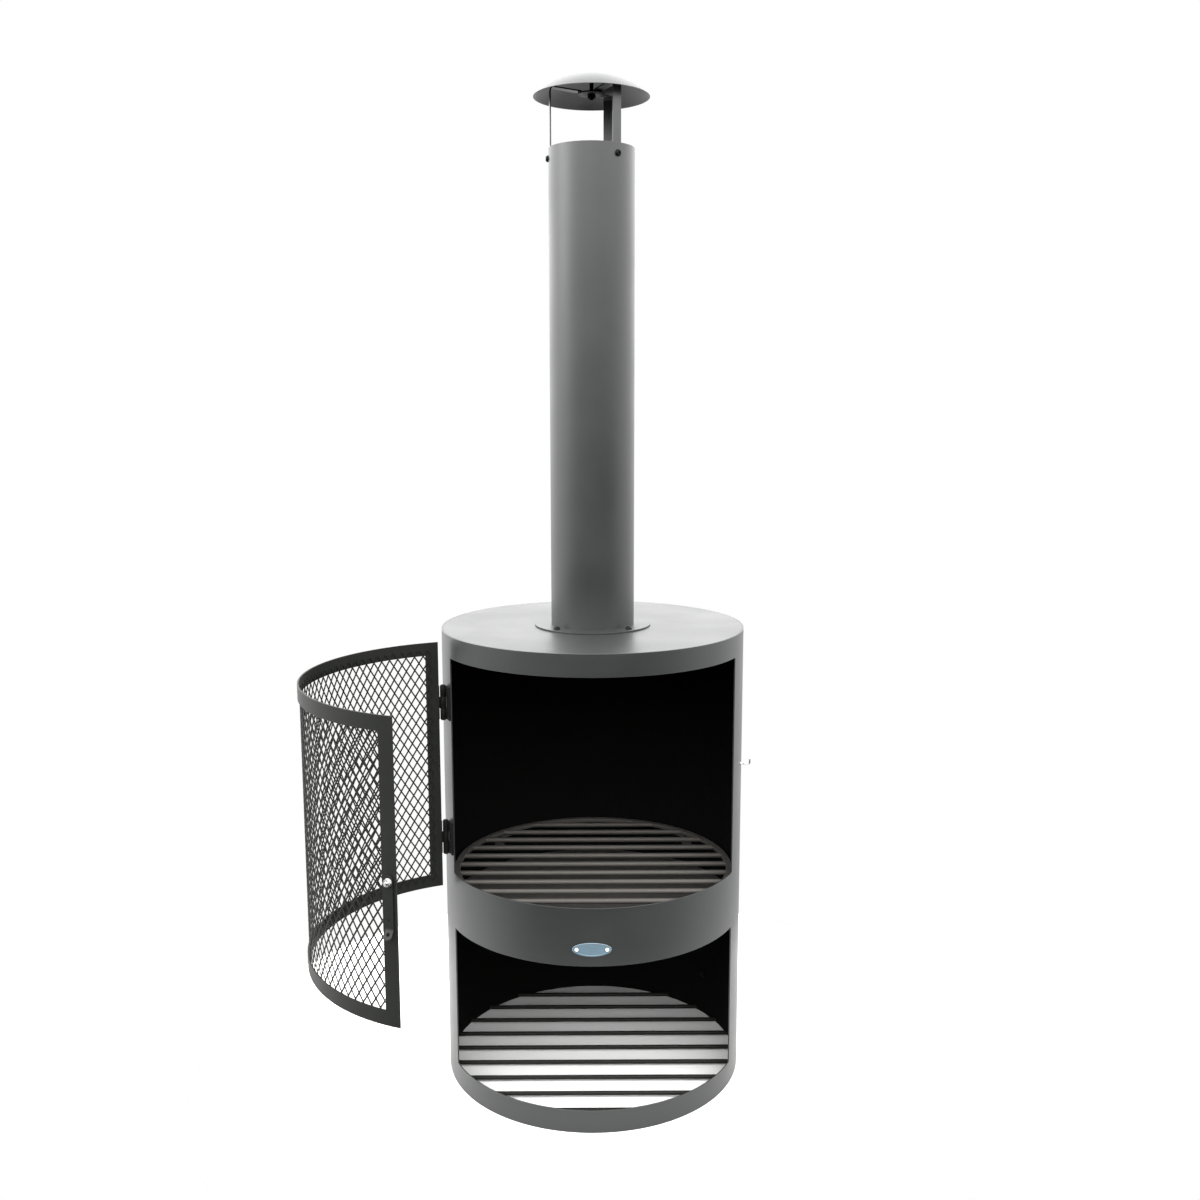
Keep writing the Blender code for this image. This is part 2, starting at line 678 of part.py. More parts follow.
def make_door(build, axis):
    """The curved door: frame, mesh and hinges. It is drawn shut, and its axis swings it open."""
    swing = Matrix.Rotation(math.radians(-DOOR_OPEN), 4, "Z")
    door_axis = build.empty("door_axis", Matrix.Translation(hinge_point()) @ swing, axis)
    from_hinge = Matrix.Translation(-hinge_point())

    mesh = sheet_piece("door_frame", DOOR_R, DOOR_SHEET, DOOR_START, DOOR_END, *DOOR_Z)
    mesh.transform(from_hinge)
    frame = build.piece("door_frame", mesh, COATING, door_axis)
    bar = degrees_for(DOOR_BAR, DOOR_R)
    low, high = DOOR_Z
    window_r = (DOOR_R - WINDOW_CUTTER_REACH, DOOR_R + WINDOW_CUTTER_REACH)
    outline = sector(*window_r, DOOR_START + bar, DOOR_END - bar)
    window = flat_mesh("door_window", [outline], low + DOOR_BAR, high - DOOR_BAR)
    window.transform(from_hinge)
    build.boolean(frame, "DIFFERENCE", "door_window", window)
    place = from_hinge @ outward(DOOR_R, LATCH_AZIMUTH, LATCH_Z)
    build.drill(frame, "latch_hole", BOLT_HOLE_R, place)

    mesh = door_lattice()
    mesh.transform(from_hinge)
    lattice = build.piece("door_mesh", mesh, BLACK_STEEL, door_axis)
    solidify = lattice.modifiers.new("thickness", "SOLIDIFY")
    solidify.thickness = MESH_T
    solidify.offset = 0.0

    for label, middle in HINGE_MIDDLES.items():
        make_hinge(build, axis, door_axis, label, middle)
    return door_axis


def make_latch(build, door_axis):
    """The latch strip on its pivot bolt, with the bolt's washer and nut."""
    outer_r = DOOR_R + DOOR_SHEET
    place = Matrix.Translation(-hinge_point()) @ outward(outer_r, LATCH_AZIMUTH, LATCH_Z)
    latch_axis = build.empty("latch_axis", place, door_axis)

    slope = math.radians(LATCH_TAB_SLOPE)
    middle = GAP + LATCH_T / 2
    tab_end = (-LATCH_STRAIGHT - LATCH_TAB * math.cos(slope), middle + LATCH_TAB * math.sin(slope))
    path = [(LATCH_HEAD, middle), (-LATCH_STRAIGHT, middle), tab_end]
    outline = strip_outline(path, LATCH_T)
    mesh = flat_mesh("latch_strip", [outline], -LATCH_WIDTH / 2, LATCH_WIDTH / 2)
    mesh.transform(Matrix(((0, 0, 1), (1, 0, 0), (0, 1, 0))).to_4x4())
    strip = build.piece("latch_strip", mesh, BLACK_STEEL, latch_axis)
    build.drill(strip, "latch_pivot_hole", BOLT_R + PIN_PLAY, Matrix())
    notch_right = LATCH_NOTCH_PAST_MIDDLE
    notch_left = -LATCH_WIDTH
    notch_top = -LATCH_NOTCH_AT + LATCH_NOTCH_WIDTH / 2
    notch_foot = -LATCH_NOTCH_AT - LATCH_NOTCH_WIDTH / 2
    notch = [
        (notch_right, notch_top),
        (notch_left, notch_top),
        (notch_left, notch_foot),
        (notch_right, notch_foot),
    ]
    cutter = flat_mesh("latch_notch", [notch], -LATCH_WIDTH, LATCH_WIDTH)
    build.boolean(strip, "DIFFERENCE", "latch_notch", cutter)
    tilt = Matrix.Rotation(-slope, 4, "X")
    hole_at = Vector((0.0, (-LATCH_STRAIGHT + tab_end[0]) / 2, (middle + tab_end[1]) / 2))
    build.drill(strip, "latch_tab_hole", LATCH_TAB_HOLE_R, Matrix.Translation(hole_at) @ tilt)

    head_r, head_t = LATCH_BOLT_HEAD
    washer_r, washer_t = LATCH_WASHER
    head_top = -DOOR_SHEET - GAP
    head_foot = head_top - head_t
    washer_foot = 2 * GAP + LATCH_T
    washer = (washer_foot, washer_foot + washer_t)
    nut = (washer[1] + GAP, washer[1] + GAP + LATCH_NUT_T)
    tip = nut[1] + LATCH_BOLT_TIP
    bolt = [
        (0.0, tip),
        (BOLT_R - LATCH_BOLT_CHAMFER, tip),
        (BOLT_R, tip - LATCH_BOLT_CHAMFER),
        (BOLT_R, head_top),
        (head_r, head_top),
        (head_r, head_foot),
        (0.0, head_foot),
    ]
    build.turned("latch_bolt", bolt, ZINC, door_axis, place)
    loops = [circle(washer_r, SMALL_STEPS), circle(BOLT_HOLE_R, SMALL_STEPS)]
    build.piece("latch_washer", flat_mesh("latch_washer", loops, *washer), ZINC, door_axis, place)
    hex_nut(build, "latch_nut", ZINC, door_axis, place, *nut)


def peg_azimuth():
    """Where the latch strip's notch comes over the drum when the strip is level."""
    strip_r = DOOR_R + DOOR_SHEET + GAP + LATCH_T / 2
    return LATCH_AZIMUTH + math.degrees(math.atan2(LATCH_NOTCH_AT, strip_r))


def make_peg(build, axis):
    """The bent wire peg on the drum that the latch strip hooks over."""
    bend = 2 * PEG_WIRE_R
    foot_r = DRUM_R + GAP
    path = [(0.0, 0.0, foot_r)]
    for angle in PEG_BEND_ANGLES:
        turn = math.radians(angle)
        lift = bend - bend * math.cos(turn)
        path.append((0.0, lift, PEG_REACH_R - bend + bend * math.sin(turn)))
    path.append((0.0, PEG_TIP, PEG_REACH_R))
    mesh = wire_mesh("latch_peg", path, PEG_WIRE_R)
    build.piece("latch_peg", mesh, ZINC, axis, outward(0.0, peg_azimuth(), LATCH_Z))


def rivet_azimuth(side):
    """The azimuth of the nameplate's left (-1) or right (1) rivet."""
    return PLATE_AZIMUTH + side * degrees_for(RIVET_SPREAD, DRUM_R)


def make_nameplate(build, axis):
    """A blank oval plate that follows the drum, with a rivet at each end."""
    half = degrees_for(PLATE_SPREAD * PLATE_WIDTH, DRUM_R)
    spread = (PLATE_AZIMUTH - half, PLATE_AZIMUTH + half)
    low, high = PLATE_Z - PLATE_HEIGHT, PLATE_Z + PLATE_HEIGHT
    mesh = sheet_piece("name_plate", DRUM_R + GAP, PLATE_T, *spread, low, high)
    plate = build.piece("name_plate", mesh, PLATE_BLUE, axis)
    unit = circle(1.0, PLATE_OVAL_STEPS)
    oval = [(x * PLATE_WIDTH / 2, y * PLATE_HEIGHT / 2) for x, y in unit]
    mesh = flat_mesh("plate_oval", [oval], -PLATE_HEIGHT, PLATE_HEIGHT)
    build.boolean(plate, "INTERSECT", "plate_oval", mesh, outward(DRUM_R, PLATE_AZIMUTH, PLATE_Z))
    for number, side in enumerate((-1, 1)):
        azimuth = rivet_azimuth(side)
        place = outward(DRUM_R, azimuth, PLATE_Z)
        build.drill(plate, f"plate_hole_{number}", RIVET_R + GAP, place)
        name = f"plate_rivet_{number + 1}"
        place = outward(DRUM_R + PLATE_T + 2 * GAP, azimuth, PLATE_Z)
        pan_bolt(build, name, ZINC, axis, place, RIVET_HEAD, RIVET_SHANK, RIVET_R)


def make_wall_bolt(build, axis):
    """The bolt and nut low on the drum's wall."""
    place = outward(DRUM_R + GAP, WALL_BOLT_AZIMUTH, WALL_BOLT_Z)
    pan_bolt(build, "wall_bolt", BLACK_STEEL, axis, place, WALL_BOLT_HEAD, WALL_BOLT_SHANK)
    place = outward(DRUM_INNER_R - 2 * GAP, WALL_BOLT_AZIMUTH, WALL_BOLT_Z)
    hex_nut(build, "wall_nut", ZINC, axis, place, -WALL_NUT_T, 0.0)


def footprint_middle():
    """The middle of the stove's footprint seen from the drum's axis, with the door open."""
    hinge = hinge_point()
    swing = Matrix.Rotation(math.radians(-DOOR_OPEN), 3, "Z")
    door_middle = hinge - swing @ hinge
    left = door_middle.x - DOOR_R - DOOR_SHEET
    right = around(PEG_REACH_R + PEG_WIRE_R, peg_azimuth()).x
    tab_rise = LATCH_TAB * math.sin(math.radians(LATCH_TAB_SLOPE))
    tab_r = DOOR_R + DOOR_SHEET + GAP + LATCH_T + tab_rise
    front = door_middle.y + (swing @ around(tab_r, LATCH_AZIMUTH)).y
    return Vector(((left + right) / 2, (front + DRUM_R) / 2, 0.0))


def main():
    clear_scene()
    build = Builder()
    axis = build.empty("stove_axis", Matrix.Translation(-footprint_middle()))
    make_drum(build, axis)
    make_plates(build, axis)
    make_base_bars(build, axis)
    make_grate(build, axis)
    make_chimney(build, axis)
    make_rain_cap(build, axis)
    door_axis = make_door(build, axis)
    make_latch(build, door_axis)
    make_peg(build, axis)
    make_nameplate(build, axis)
    make_wall_bolt(build, axis)


main()
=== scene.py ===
"""Wood burning stove: the finished look of an open drum stove with a mesh door and a capped chimney.

Sizes are in metres and +Z is up. The pieces are drawn about the drum's own axis: an azimuth is
counted in degrees from the front, which looks along -Y, towards +X.
"""

import math
from functools import partial

import bmesh
import bpy
from mathutils import Matrix, Vector, noise


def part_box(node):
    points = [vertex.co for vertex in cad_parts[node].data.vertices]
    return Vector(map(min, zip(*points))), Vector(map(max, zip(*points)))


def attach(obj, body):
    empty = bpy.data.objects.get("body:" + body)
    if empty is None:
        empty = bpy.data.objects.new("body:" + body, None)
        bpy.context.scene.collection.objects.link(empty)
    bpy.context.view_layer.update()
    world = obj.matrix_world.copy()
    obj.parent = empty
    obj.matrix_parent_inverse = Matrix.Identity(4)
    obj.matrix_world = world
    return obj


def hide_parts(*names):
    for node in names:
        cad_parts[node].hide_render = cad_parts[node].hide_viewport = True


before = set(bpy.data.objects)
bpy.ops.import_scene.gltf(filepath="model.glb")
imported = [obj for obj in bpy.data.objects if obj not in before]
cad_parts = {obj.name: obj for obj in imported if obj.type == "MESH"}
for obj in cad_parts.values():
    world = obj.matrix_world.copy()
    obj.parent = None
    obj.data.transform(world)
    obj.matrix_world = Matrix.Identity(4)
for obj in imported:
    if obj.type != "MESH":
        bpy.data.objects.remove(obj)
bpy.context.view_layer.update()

bl_info = {
    "name": "Wood Burning Stove",
    "version": (1, 0, 0),
    "blender": (4, 5, 0),
    "location": "View3D > Sidebar > Stove",
    "description": "Builds an outdoor wood burning stove with a mesh door, a log store and a chimney",
    "category": "Add Mesh",
}

# Places and sizes that the model states.
DRUM_LOW, DRUM_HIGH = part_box("body_drum")
AXIS = Vector(((DRUM_LOW.x + DRUM_HIGH.x) / 2, (DRUM_LOW.y + DRUM_HIGH.y) / 2, 0.0))
DRUM_R = (DRUM_HIGH.x - DRUM_LOW.x) / 2
DRUM_TOP = DRUM_HIGH.z
PIPE_LOW, PIPE_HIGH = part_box("chimney_pipe")
PIPE_R = (PIPE_HIGH.x - PIPE_LOW.x) / 2
FLANGE_LOW, FLANGE_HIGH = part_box("chimney_flange")
FLANGE_R = (FLANGE_HIGH.x - FLANGE_LOW.x) / 2
DOME_LOW, DOME_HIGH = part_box("cap_dome")
DOME_RIM_R = (DOME_HIGH.x - DOME_LOW.x) / 2
PIN_LOW, PIN_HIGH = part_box("hinge_upper_pin")
HINGE = Vector(((PIN_LOW.x + PIN_HIGH.x) / 2, (PIN_LOW.y + PIN_HIGH.y) / 2, 0.0))
DOOR_LOW, DOOR_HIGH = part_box("door_frame")
PLATE_LOW, PLATE_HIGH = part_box("top_plate")
FLOOR_LOW, FLOOR_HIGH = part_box("firebox_floor")

GAP = 0.0003
SHEET = 0.002
SOFT_EDGE = 0.0003
FINE_EDGE = 0.0002
BROAD_EDGE = 0.0004
PIPE_EDGE = 0.00025
STRAND_EDGE = 0.00015
BEVEL_ANGLE = 35.0
SMOOTH_ANGLE = 40.0
ROUND_STEPS = 120
SCREW_STEPS = 28
BAR_STEP = 0.05
ROD_END_TURNS = (math.pi / 2, 1.2, 0.8, 0.35)
WELD_NOISE = Vector((3.0, 3.0, 0.0))

# Drum cut-outs.
CUT_HALF_ANGLE = 65.0
FIRE_CUT = (0.3377, 0.6643)
LOG_CUT = (0.0345, 0.2523)
DRUM_STEP = 2.5
PLATE_STEPS = 144
SEAM_AZIMUTH = 165.0
SEAM_R = 0.0012
SEAM_SUNK = 0.0007
SEAM_STEP = 0.0012
SEAM_SWELL = 0.0001
SEAM_WAVES = 2000.0
SEAM_MARGIN = 0.002

# Door, drawn shut about the drum's axis.
DOOR_OPEN = 90.0
DOOR_R = 0.2318
DOOR_START = -68.3
DOOR_END = 68.9
DOOR_BAR = 0.019
DOOR_STEP = 2.4
MESH_R = 0.2303
MESH_MIDDLE = 0.0006
MESH_SPAN = (-65.9, 65.2)
MESH_Z = (0.3240, 0.6773)

# Latch and peg.
LATCH_Z = 0.492
LATCH_AZIMUTH = 66.6
LATCH_T = 0.0015
LATCH_WIDTH = 0.011
LATCH_HEAD = 0.008
LATCH_STRAIGHT = 0.057
LATCH_NOTCH_AT = 0.046
LATCH_NOTCH_WIDTH = 0.004
LATCH_NOTCH_END = 0.0015
LATCH_NOTCH_LEAD = 0.0006
LATCH_TAB = 0.013
LATCH_TAB_SLOPE = 35.0
LATCH_TAB_HOLE_R = 0.0022
LATCH_BEND = 0.0025
LATCH_BEND_STEPS = 5
LATCH_WASHER_T = 0.0008
LATCH_NUT_T = 0.0035
LATCH_BOLT_TIP = 0.0010
LATCH_THREAD_FOOT = 0.003
PEG_WIRE_R = 0.0012
PEG_REACH_R = 0.2418
PEG_TIP = 0.009
PEG_WELD_R = 0.0022
PEG_WELD_OUT = 0.0004

# The latch bolt's thin head, as (radius, depth under its seat).
LATCH_BOLT_HEAD = ((0.0038, 0.0), (0.0040, 0.0002), (0.0040, 0.0006), (0.0036, 0.0009), (0.0, 0.0009))

# Chimney and cap.
FLUE_HOLE_R = 0.0605
FLUE_STEPS = 72
PIPE_WALL = 0.001
PIPE_RING = 0.06
FLANGE_BOLT_CIRCLE_R = 0.075
FLANGE_BOLT_AZIMUTHS = (45.0, 135.0, -135.0, -45.0)
DOME_T = 0.0015
DOME_RINGS = 20
LEG_AZIMUTHS = (36.0, 156.0, -84.0)
LEG_R = 0.0595
LEG_T = 0.002
LEG_WIDTH = 0.014
LEG_PATH = ((LEG_R, 1.358), (LEG_R, 1.468), (0.0570, 1.4715), (0.0150, 1.4660))
LEG_BEND = 0.006
LEG_SCREW_Z = 1.374
STUD_R = 0.003
STUD_ROOT = 0.88
STUD_POINT_R = 0.0024
STUD_POINT = 0.0004
STUD_FOOT_Z = 1.4555

# Log rests and fire grate.
BASE_BAR_COUNT = 9
BASE_BAR_PITCH = 0.045
BASE_BAR_R = 0.0032
BASE_BAR_Z = 0.007
GRATE_Z = 0.315
GRATE_RING = (0.207, 0.216)
GRATE_RING_T = 0.006
GRATE_RING_SOFT = 0.0006
GRATE_BAR_R = 0.004
GRATE_BAR_PITCH = 0.03675
GRATE_BARS_EACH_SIDE = 5
TAB_AZIMUTHS = (45.0, 135.0, -135.0, -45.0)
TAB_T = 0.002
TAB_WIDTH = 0.020
TAB_LEG = 0.025
TAB_REACH = 0.021
TAB_BEND = 0.003
TAB_WALL_GAP = 0.0005

# Nameplate.
PLATE_AZIMUTH = -0.5
PLATE_Z = 0.2775
PLATE_SIZE = (0.055, 0.020)
PLATE_T = 0.001
RIVET_SPREAD = 0.0213
RIVET_HEAD = (0.0026, 0.0012)
RIVET_SHANK = (0.0014, -0.0055)

# A stamped plate's section from its middle out, as shares of (half width, thickness).
PLATE_SECTION = (
    (0.0, 0.60), (0.70, 0.60), (0.80, 0.62), (0.84, 0.90), (0.88, 1.0), (0.95, 1.0), (0.98, 0.92),
    (1.0, 0.70), (1.0, 0.10), (0.99, 0.0), (0.0, 0.0),
)

# Screws, as (head radius, head height, how far the shank reaches).
BOLT_R = 0.0025
PLAIN_SHANK = -0.002
THREAD_PITCH = 0.0008
FLANGE_SCREW = (0.0048, 0.0032, -0.011)
CAP_SCREW = (0.0047, 0.0034, -0.0095)
WALL_SCREW = (0.0048, 0.0030, -0.0090)
WALL_BOLT_AZIMUTH = 124.0
WALL_BOLT_Z = 0.0705

# A round screw head with a socket, as shares of (head radius, head height).
SCREW_HEAD = (
    (0.0, 0.35), (0.34, 0.35), (0.38, 0.96), (0.50, 1.0),
    (0.74, 0.86), (0.92, 0.55), (1.0, 0.20), (0.98, 0.0),
)

# Soft lights, as (size, place from the drum's axis, height that they are aimed at).
KEY_LIGHT = ((1.8, 1.0), (-0.3, -2.6, 2.7), 1.2)
SIDE_LIGHT = ((1.4, 1.2), (-2.3, -0.5, 2.1), 1.3)

# Where the studio's brightness changes, as the parts of a direction that is one long.
WALL_RISE = (-0.15, 0.20)
FRONT_RISE = (-0.01, 0.44)
FRONT_TO_WALLS = (-0.80, 0.05)
CEILING_RISE = (0.35, 0.75)
LEFT_RISE = (-0.25, -0.90)
RIGHT_RISE = (0.25, 0.90)


def around(radius, azimuth, z=0.0):
    """The point at a radius, azimuth and height about the drum's axis, which stands at the origin."""
    angle = math.radians(azimuth)
    return Vector((radius * math.sin(angle), -radius * math.cos(angle), z))


def outward(radius, azimuth, z):
    """Places a shape so that its +Z points away from the drum's axis, +Y up and +X round it."""
    angle = math.radians(azimuth)
    along = Vector((math.cos(angle), math.sin(angle), 0.0))
    away = Vector((math.sin(angle), -math.cos(angle), 0.0))
    place = Matrix((along, Vector((0.0, 0.0, 1.0)), away)).transposed().to_4x4()
    place.translation = around(radius, azimuth, z)
    return place


def sideways(azimuth):
    """Turns a side outline drawn as (radius, height), with its width along Z, to an azimuth."""
    angle = math.radians(azimuth)
    away = Vector((math.sin(angle), -math.cos(angle), 0.0))
    across = away.cross(Vector((0.0, 0.0, 1.0)))
    return Matrix((away, Vector((0.0, 0.0, 1.0)), across)).transposed().to_4x4()


AT_AXIS = Matrix.Translation(AXIS)
SWING = (
    Matrix.Translation(HINGE)
    @ Matrix.Rotation(math.radians(-DOOR_OPEN), 4, "Z")
    @ Matrix.Translation(AXIS - HINGE)
)


# Mesh makers


def arc(radius, angles, centre=(0.0, 0.0)):
    """The points of an arc at the given angles in degrees, counted from +X towards +Y."""
    x, y = centre
    turns = [math.radians(angle) for angle in angles]
    return [(x + radius * math.cos(turn), y + radius * math.sin(turn)) for turn in turns]


def circle(radius, steps, centre=(0.0, 0.0)):
    """The points of a circle. Without a radius it is its centre alone."""
    if radius == 0.0:
        return [centre]
    return arc(radius, [360.0 * step / steps for step in range(steps)], centre)


def spread(start, end, step):
    """Values from start to end, evenly set no more than step apart."""
    count = max(1, math.ceil(abs(end - start) / step - 1e-6))
    return [start + (end - start) * number / count for number in range(count + 1)]


def join_rings(work, rings, closed=False):
    """Adds the faces between rings of corners. A ring of one corner is a tip."""
    following = rings[1:] + rings[:1] if closed else rings[1:]
    for upper, lower in zip(rings, following):
        steps = max(len(upper), len(lower))
        for step in range(steps):
            after = (step + 1) % steps
            corners = [upper[step % len(upper)], upper[after % len(upper)]]
            corners += [lower[after % len(lower)], lower[step % len(lower)]]
            corners = list(dict.fromkeys(corners))
            if len(corners) > 2:
                work.faces.new(corners)


def finished(work, name, turn_outwards=True):
    """The mesh of a bmesh, with its seams closed."""
    bmesh.ops.remove_doubles(work, verts=work.verts, dist=1e-6)
    if turn_outwards:
        bmesh.ops.recalc_face_normals(work, faces=work.faces)
    mesh = bpy.data.meshes.new(name)
    work.to_mesh(mesh)
    work.free()
    return mesh


def turned(name, profile, steps):
    """A turned mesh from (radius, height) points. A profile that is off the axis closes into a ring."""
    work = bmesh.new()
    rings = []
    for radius, height in profile:
        rings.append([work.verts.new((x, y, height)) for x, y in circle(radius, steps)])
    join_rings(work, rings, closed=profile[0][0] > 0.0)
    return finished(work, name)


def rolled(name, radius, azimuths, heights, is_open, closed=False):
    """One skin of a rolled sheet, with faces left out where is_open says so for their middle."""
    work = bmesh.new()
    rows = []
    for height in heights:
        rows.append([work.verts.new(around(radius, azimuth, height)) for azimuth in azimuths])
    ends = azimuths[1:] + [azimuths[0] + 360.0] if closed else azimuths[1:]
    for lower, upper, low, high in zip(rows, rows[1:], heights, heights[1:]):
        for column, (start, end) in enumerate(zip(azimuths, ends)):
            after = (column + 1) % len(azimuths)
            if not is_open((start + end) / 2, (low + high) / 2):
                work.faces.new((lower[column], lower[after], upper[after], upper[column]))
    loose = [vert for vert in work.verts if not vert.link_faces]
    bmesh.ops.delete(work, geom=loose, context="VERTS")
    return finished(work, name, turn_outwards=False)


def flat(name, loops, low, high):
    """A flat outline, with holes if there are more loops, from height low to height high."""
    curve = bpy.data.curves.new(name, "CURVE")
    curve.dimensions = "2D"
    curve.fill_mode = "BOTH"
    curve.extrude = (high - low) / 2
    for loop in loops:
        spline = curve.splines.new("POLY")
        spline.points.add(len(loop) - 1)
        spline.use_cyclic_u = True
        for point, (x, y) in zip(spline.points, loop):
            point.co = (x, y, 0.0, 1.0)
    source = bpy.data.objects.new(name, curve)
    bpy.context.scene.collection.objects.link(source)
    evaluated = source.evaluated_get(bpy.context.evaluated_depsgraph_get())
    work = bmesh.new()
    made = bpy.data.meshes.new_from_object(evaluated)
    work.from_mesh(made)
    bpy.data.objects.remove(source)
    bpy.data.meshes.remove(made)
    bmesh.ops.translate(work, verts=work.verts, vec=(0.0, 0.0, (low + high) / 2))
    return finished(work, name)


def rounded(points, radius, steps=5):
    """A path of (x, y) points with its inner corners rounded."""
    points = [Vector(point) for point in points]
    path = [points[0]]
    for before, corner, after in zip(points, points[1:], points[2:]):
        into = (corner - before).normalized()
        out = (after - corner).normalized()
        reach = min(radius, (corner - before).length * 0.45, (after - corner).length * 0.45)
        start = corner - into * reach
        end = corner + out * reach
        for step in range(steps + 1):
            share = step / steps
            path.append(start * (1 - share) ** 2 + corner * 2 * share * (1 - share) + end * share**2)
    path.append(points[-1])
    return path


def strip_outline(path, thickness):
    """The outline of a thin strip whose middle line is the path."""
    left = []
    right = []
    for index, point in enumerate(path):
        before = (point - path[index - 1]).normalized() if index > 0 else None
        after = (path[index + 1] - point).normalized() if index < len(path) - 1 else None
        run = ((before or after) + (after or before)).normalized()
        side = Vector((-run.y, run.x))
        miter = thickness / 2 / run.dot(after or before)
        left.append(tuple(point + side * miter))
        right.append(tuple(point - side * miter))
    return left + right[::-1]


def rod(work, path, radius, sides):
    """Adds a round rod with rounded ends along a path. The radius may be a list, one for each point."""
    points = [Vector(point) for point in path]
    radii = radius if isinstance(radius, list) else [radius] * len(points)
    first = (points[1] - points[0]).normalized()
    last = (points[-1] - points[-2]).normalized()
    stations = list(zip(points, radii))[1:-1]
    for turn in ROD_END_TURNS:
        step, share = 1 - math.cos(turn), math.sin(turn)
        stations.insert(0, (points[0] + first * radii[0] * step, radii[0] * share))
        stations.append((points[-1] - last * radii[-1] * step, radii[-1] * share))
    side = first.orthogonal().normalized()
    rings = []
    for index, (point, size) in enumerate(stations):
        before = stations[max(0, index - 1)][0]
        after = stations[min(len(stations) - 1, index + 1)][0]
        run = (after - before).normalized()
        side = (side - run * side.dot(run)).normalized()
        other = run.cross(side)
        rings.append([work.verts.new(point + side * x + other * y) for x, y in circle(size, sides)])
    join_rings(work, rings)
    work.faces.new(rings[0][::-1])
    work.faces.new(rings[-1])


def crossbar(work, y, z, half, radius, sides):
    """Adds a straight rod from left to right to a bmesh."""
    rod(work, [(x, y, z) for x in spread(-half, half, BAR_STEP)], radius, sides)


def weld_spot(work, centre, radius):
    """Adds one uneven spot of weld to a bmesh."""
    made = bmesh.ops.create_icosphere(work, subdivisions=2, radius=radius)
    for vert in made["verts"]:
        swell = 1.0 + 0.16 * noise.noise(vert.co * 400.0 + WELD_NOISE)
        vert.co = vert.co * swell + Vector(centre)


# Finishes


class Nodes:
    """Adds nodes to one node tree."""

    def __init__(self, tree):
        self.tree = tree

    def put(self, node, inputs):
        """A node with its inputs set to values or to other nodes' outputs."""
        for key, value in inputs.items():
            if isinstance(value, bpy.types.NodeSocket):
                self.tree.links.new(value, node.inputs[key])
            else:
                node.inputs[key].default_value = value
        return node

    def add(self, kind, inputs=None, **settings):
        """A new node with its inputs and settings."""
        node = self.tree.nodes.new(kind)
        for key, value in settings.items():
            setattr(node, key, value)
        return self.put(node, inputs or {})

    def spread(self, value, low, high, to_low=0.0, to_high=1.0, **settings):
        """A value mapped from one range to another."""
        inputs = {"Value": value, "From Min": low, "From Max": high}
        inputs.update({"To Min": to_low, "To Max": to_high})
        return self.add("ShaderNodeMapRange", inputs, **settings).outputs["Result"]

    def both(self, operation, first, second):
        """Two values combined."""
        return self.add("ShaderNodeMath", {0: first, 1: second}, operation=operation).outputs[0]


class Finish(Nodes):
    """Builds one node-based material."""

    def __init__(self, name):
        self.material = bpy.data.materials.new(name)
        self.material.use_nodes = True
        super().__init__(self.material.node_tree)
        self.where = self.add("ShaderNodeTexCoord").outputs["Object"]

    def noise(self, scale, detail=2.0, roughness=0.5, stretch=None):
        """Noise from 0 to 1 over the piece. Scale is in bumps to a metre."""
        where = self.where
        if stretch:
            where = self.add("ShaderNodeMapping", {"Vector": where, "Scale": stretch}).outputs["Vector"]
        inputs = {"Vector": where, "Scale": scale, "Detail": detail, "Roughness": roughness}
        return self.add("ShaderNodeTexNoise", inputs).outputs["Fac"]

    def cells(self, scale):
        """The distance to the nearest of many scattered points."""
        inputs = {"Vector": self.where, "Scale": scale}
        return self.add("ShaderNodeTexVoronoi", inputs).outputs["Distance"]

    def mix(self, share, first, second):
        """Two colours mixed."""
        inputs = {"Factor": share, 6: first, 7: second}
        return self.add("ShaderNodeMix", inputs, data_type="RGBA").outputs[2]

    def edges(self, low, high):
        """1 on the sharp outer edges of the piece, 0 on its faces."""
        return self.spread(self.add("ShaderNodeNewGeometry").outputs["Pointiness"], low, high)

    def finish(self, colour, roughness, heights, metallic=0.0, specular=0.5):
        """Joins everything to the shader. heights are (value, strength, distance), coarse first."""
        inputs = {"Base Color": colour, "Roughness": roughness, "Metallic": metallic}
        inputs["Specular IOR Level"] = specular
        for height, strength, distance in heights:
            bump = {"Strength": strength, "Distance": distance, "Height": height}
            if "Normal" in inputs:
                bump["Normal"] = inputs["Normal"]
            inputs["Normal"] = self.add("ShaderNodeBump", bump).outputs["Normal"]
        self.put(self.tree.nodes["Principled BSDF"], inputs)
        return self.material


def shade(colour, factor):
    """A colour made lighter or darker, as four numbers."""
    return (colour[0] * factor, colour[1] * factor, colour[2] * factor, 1.0)


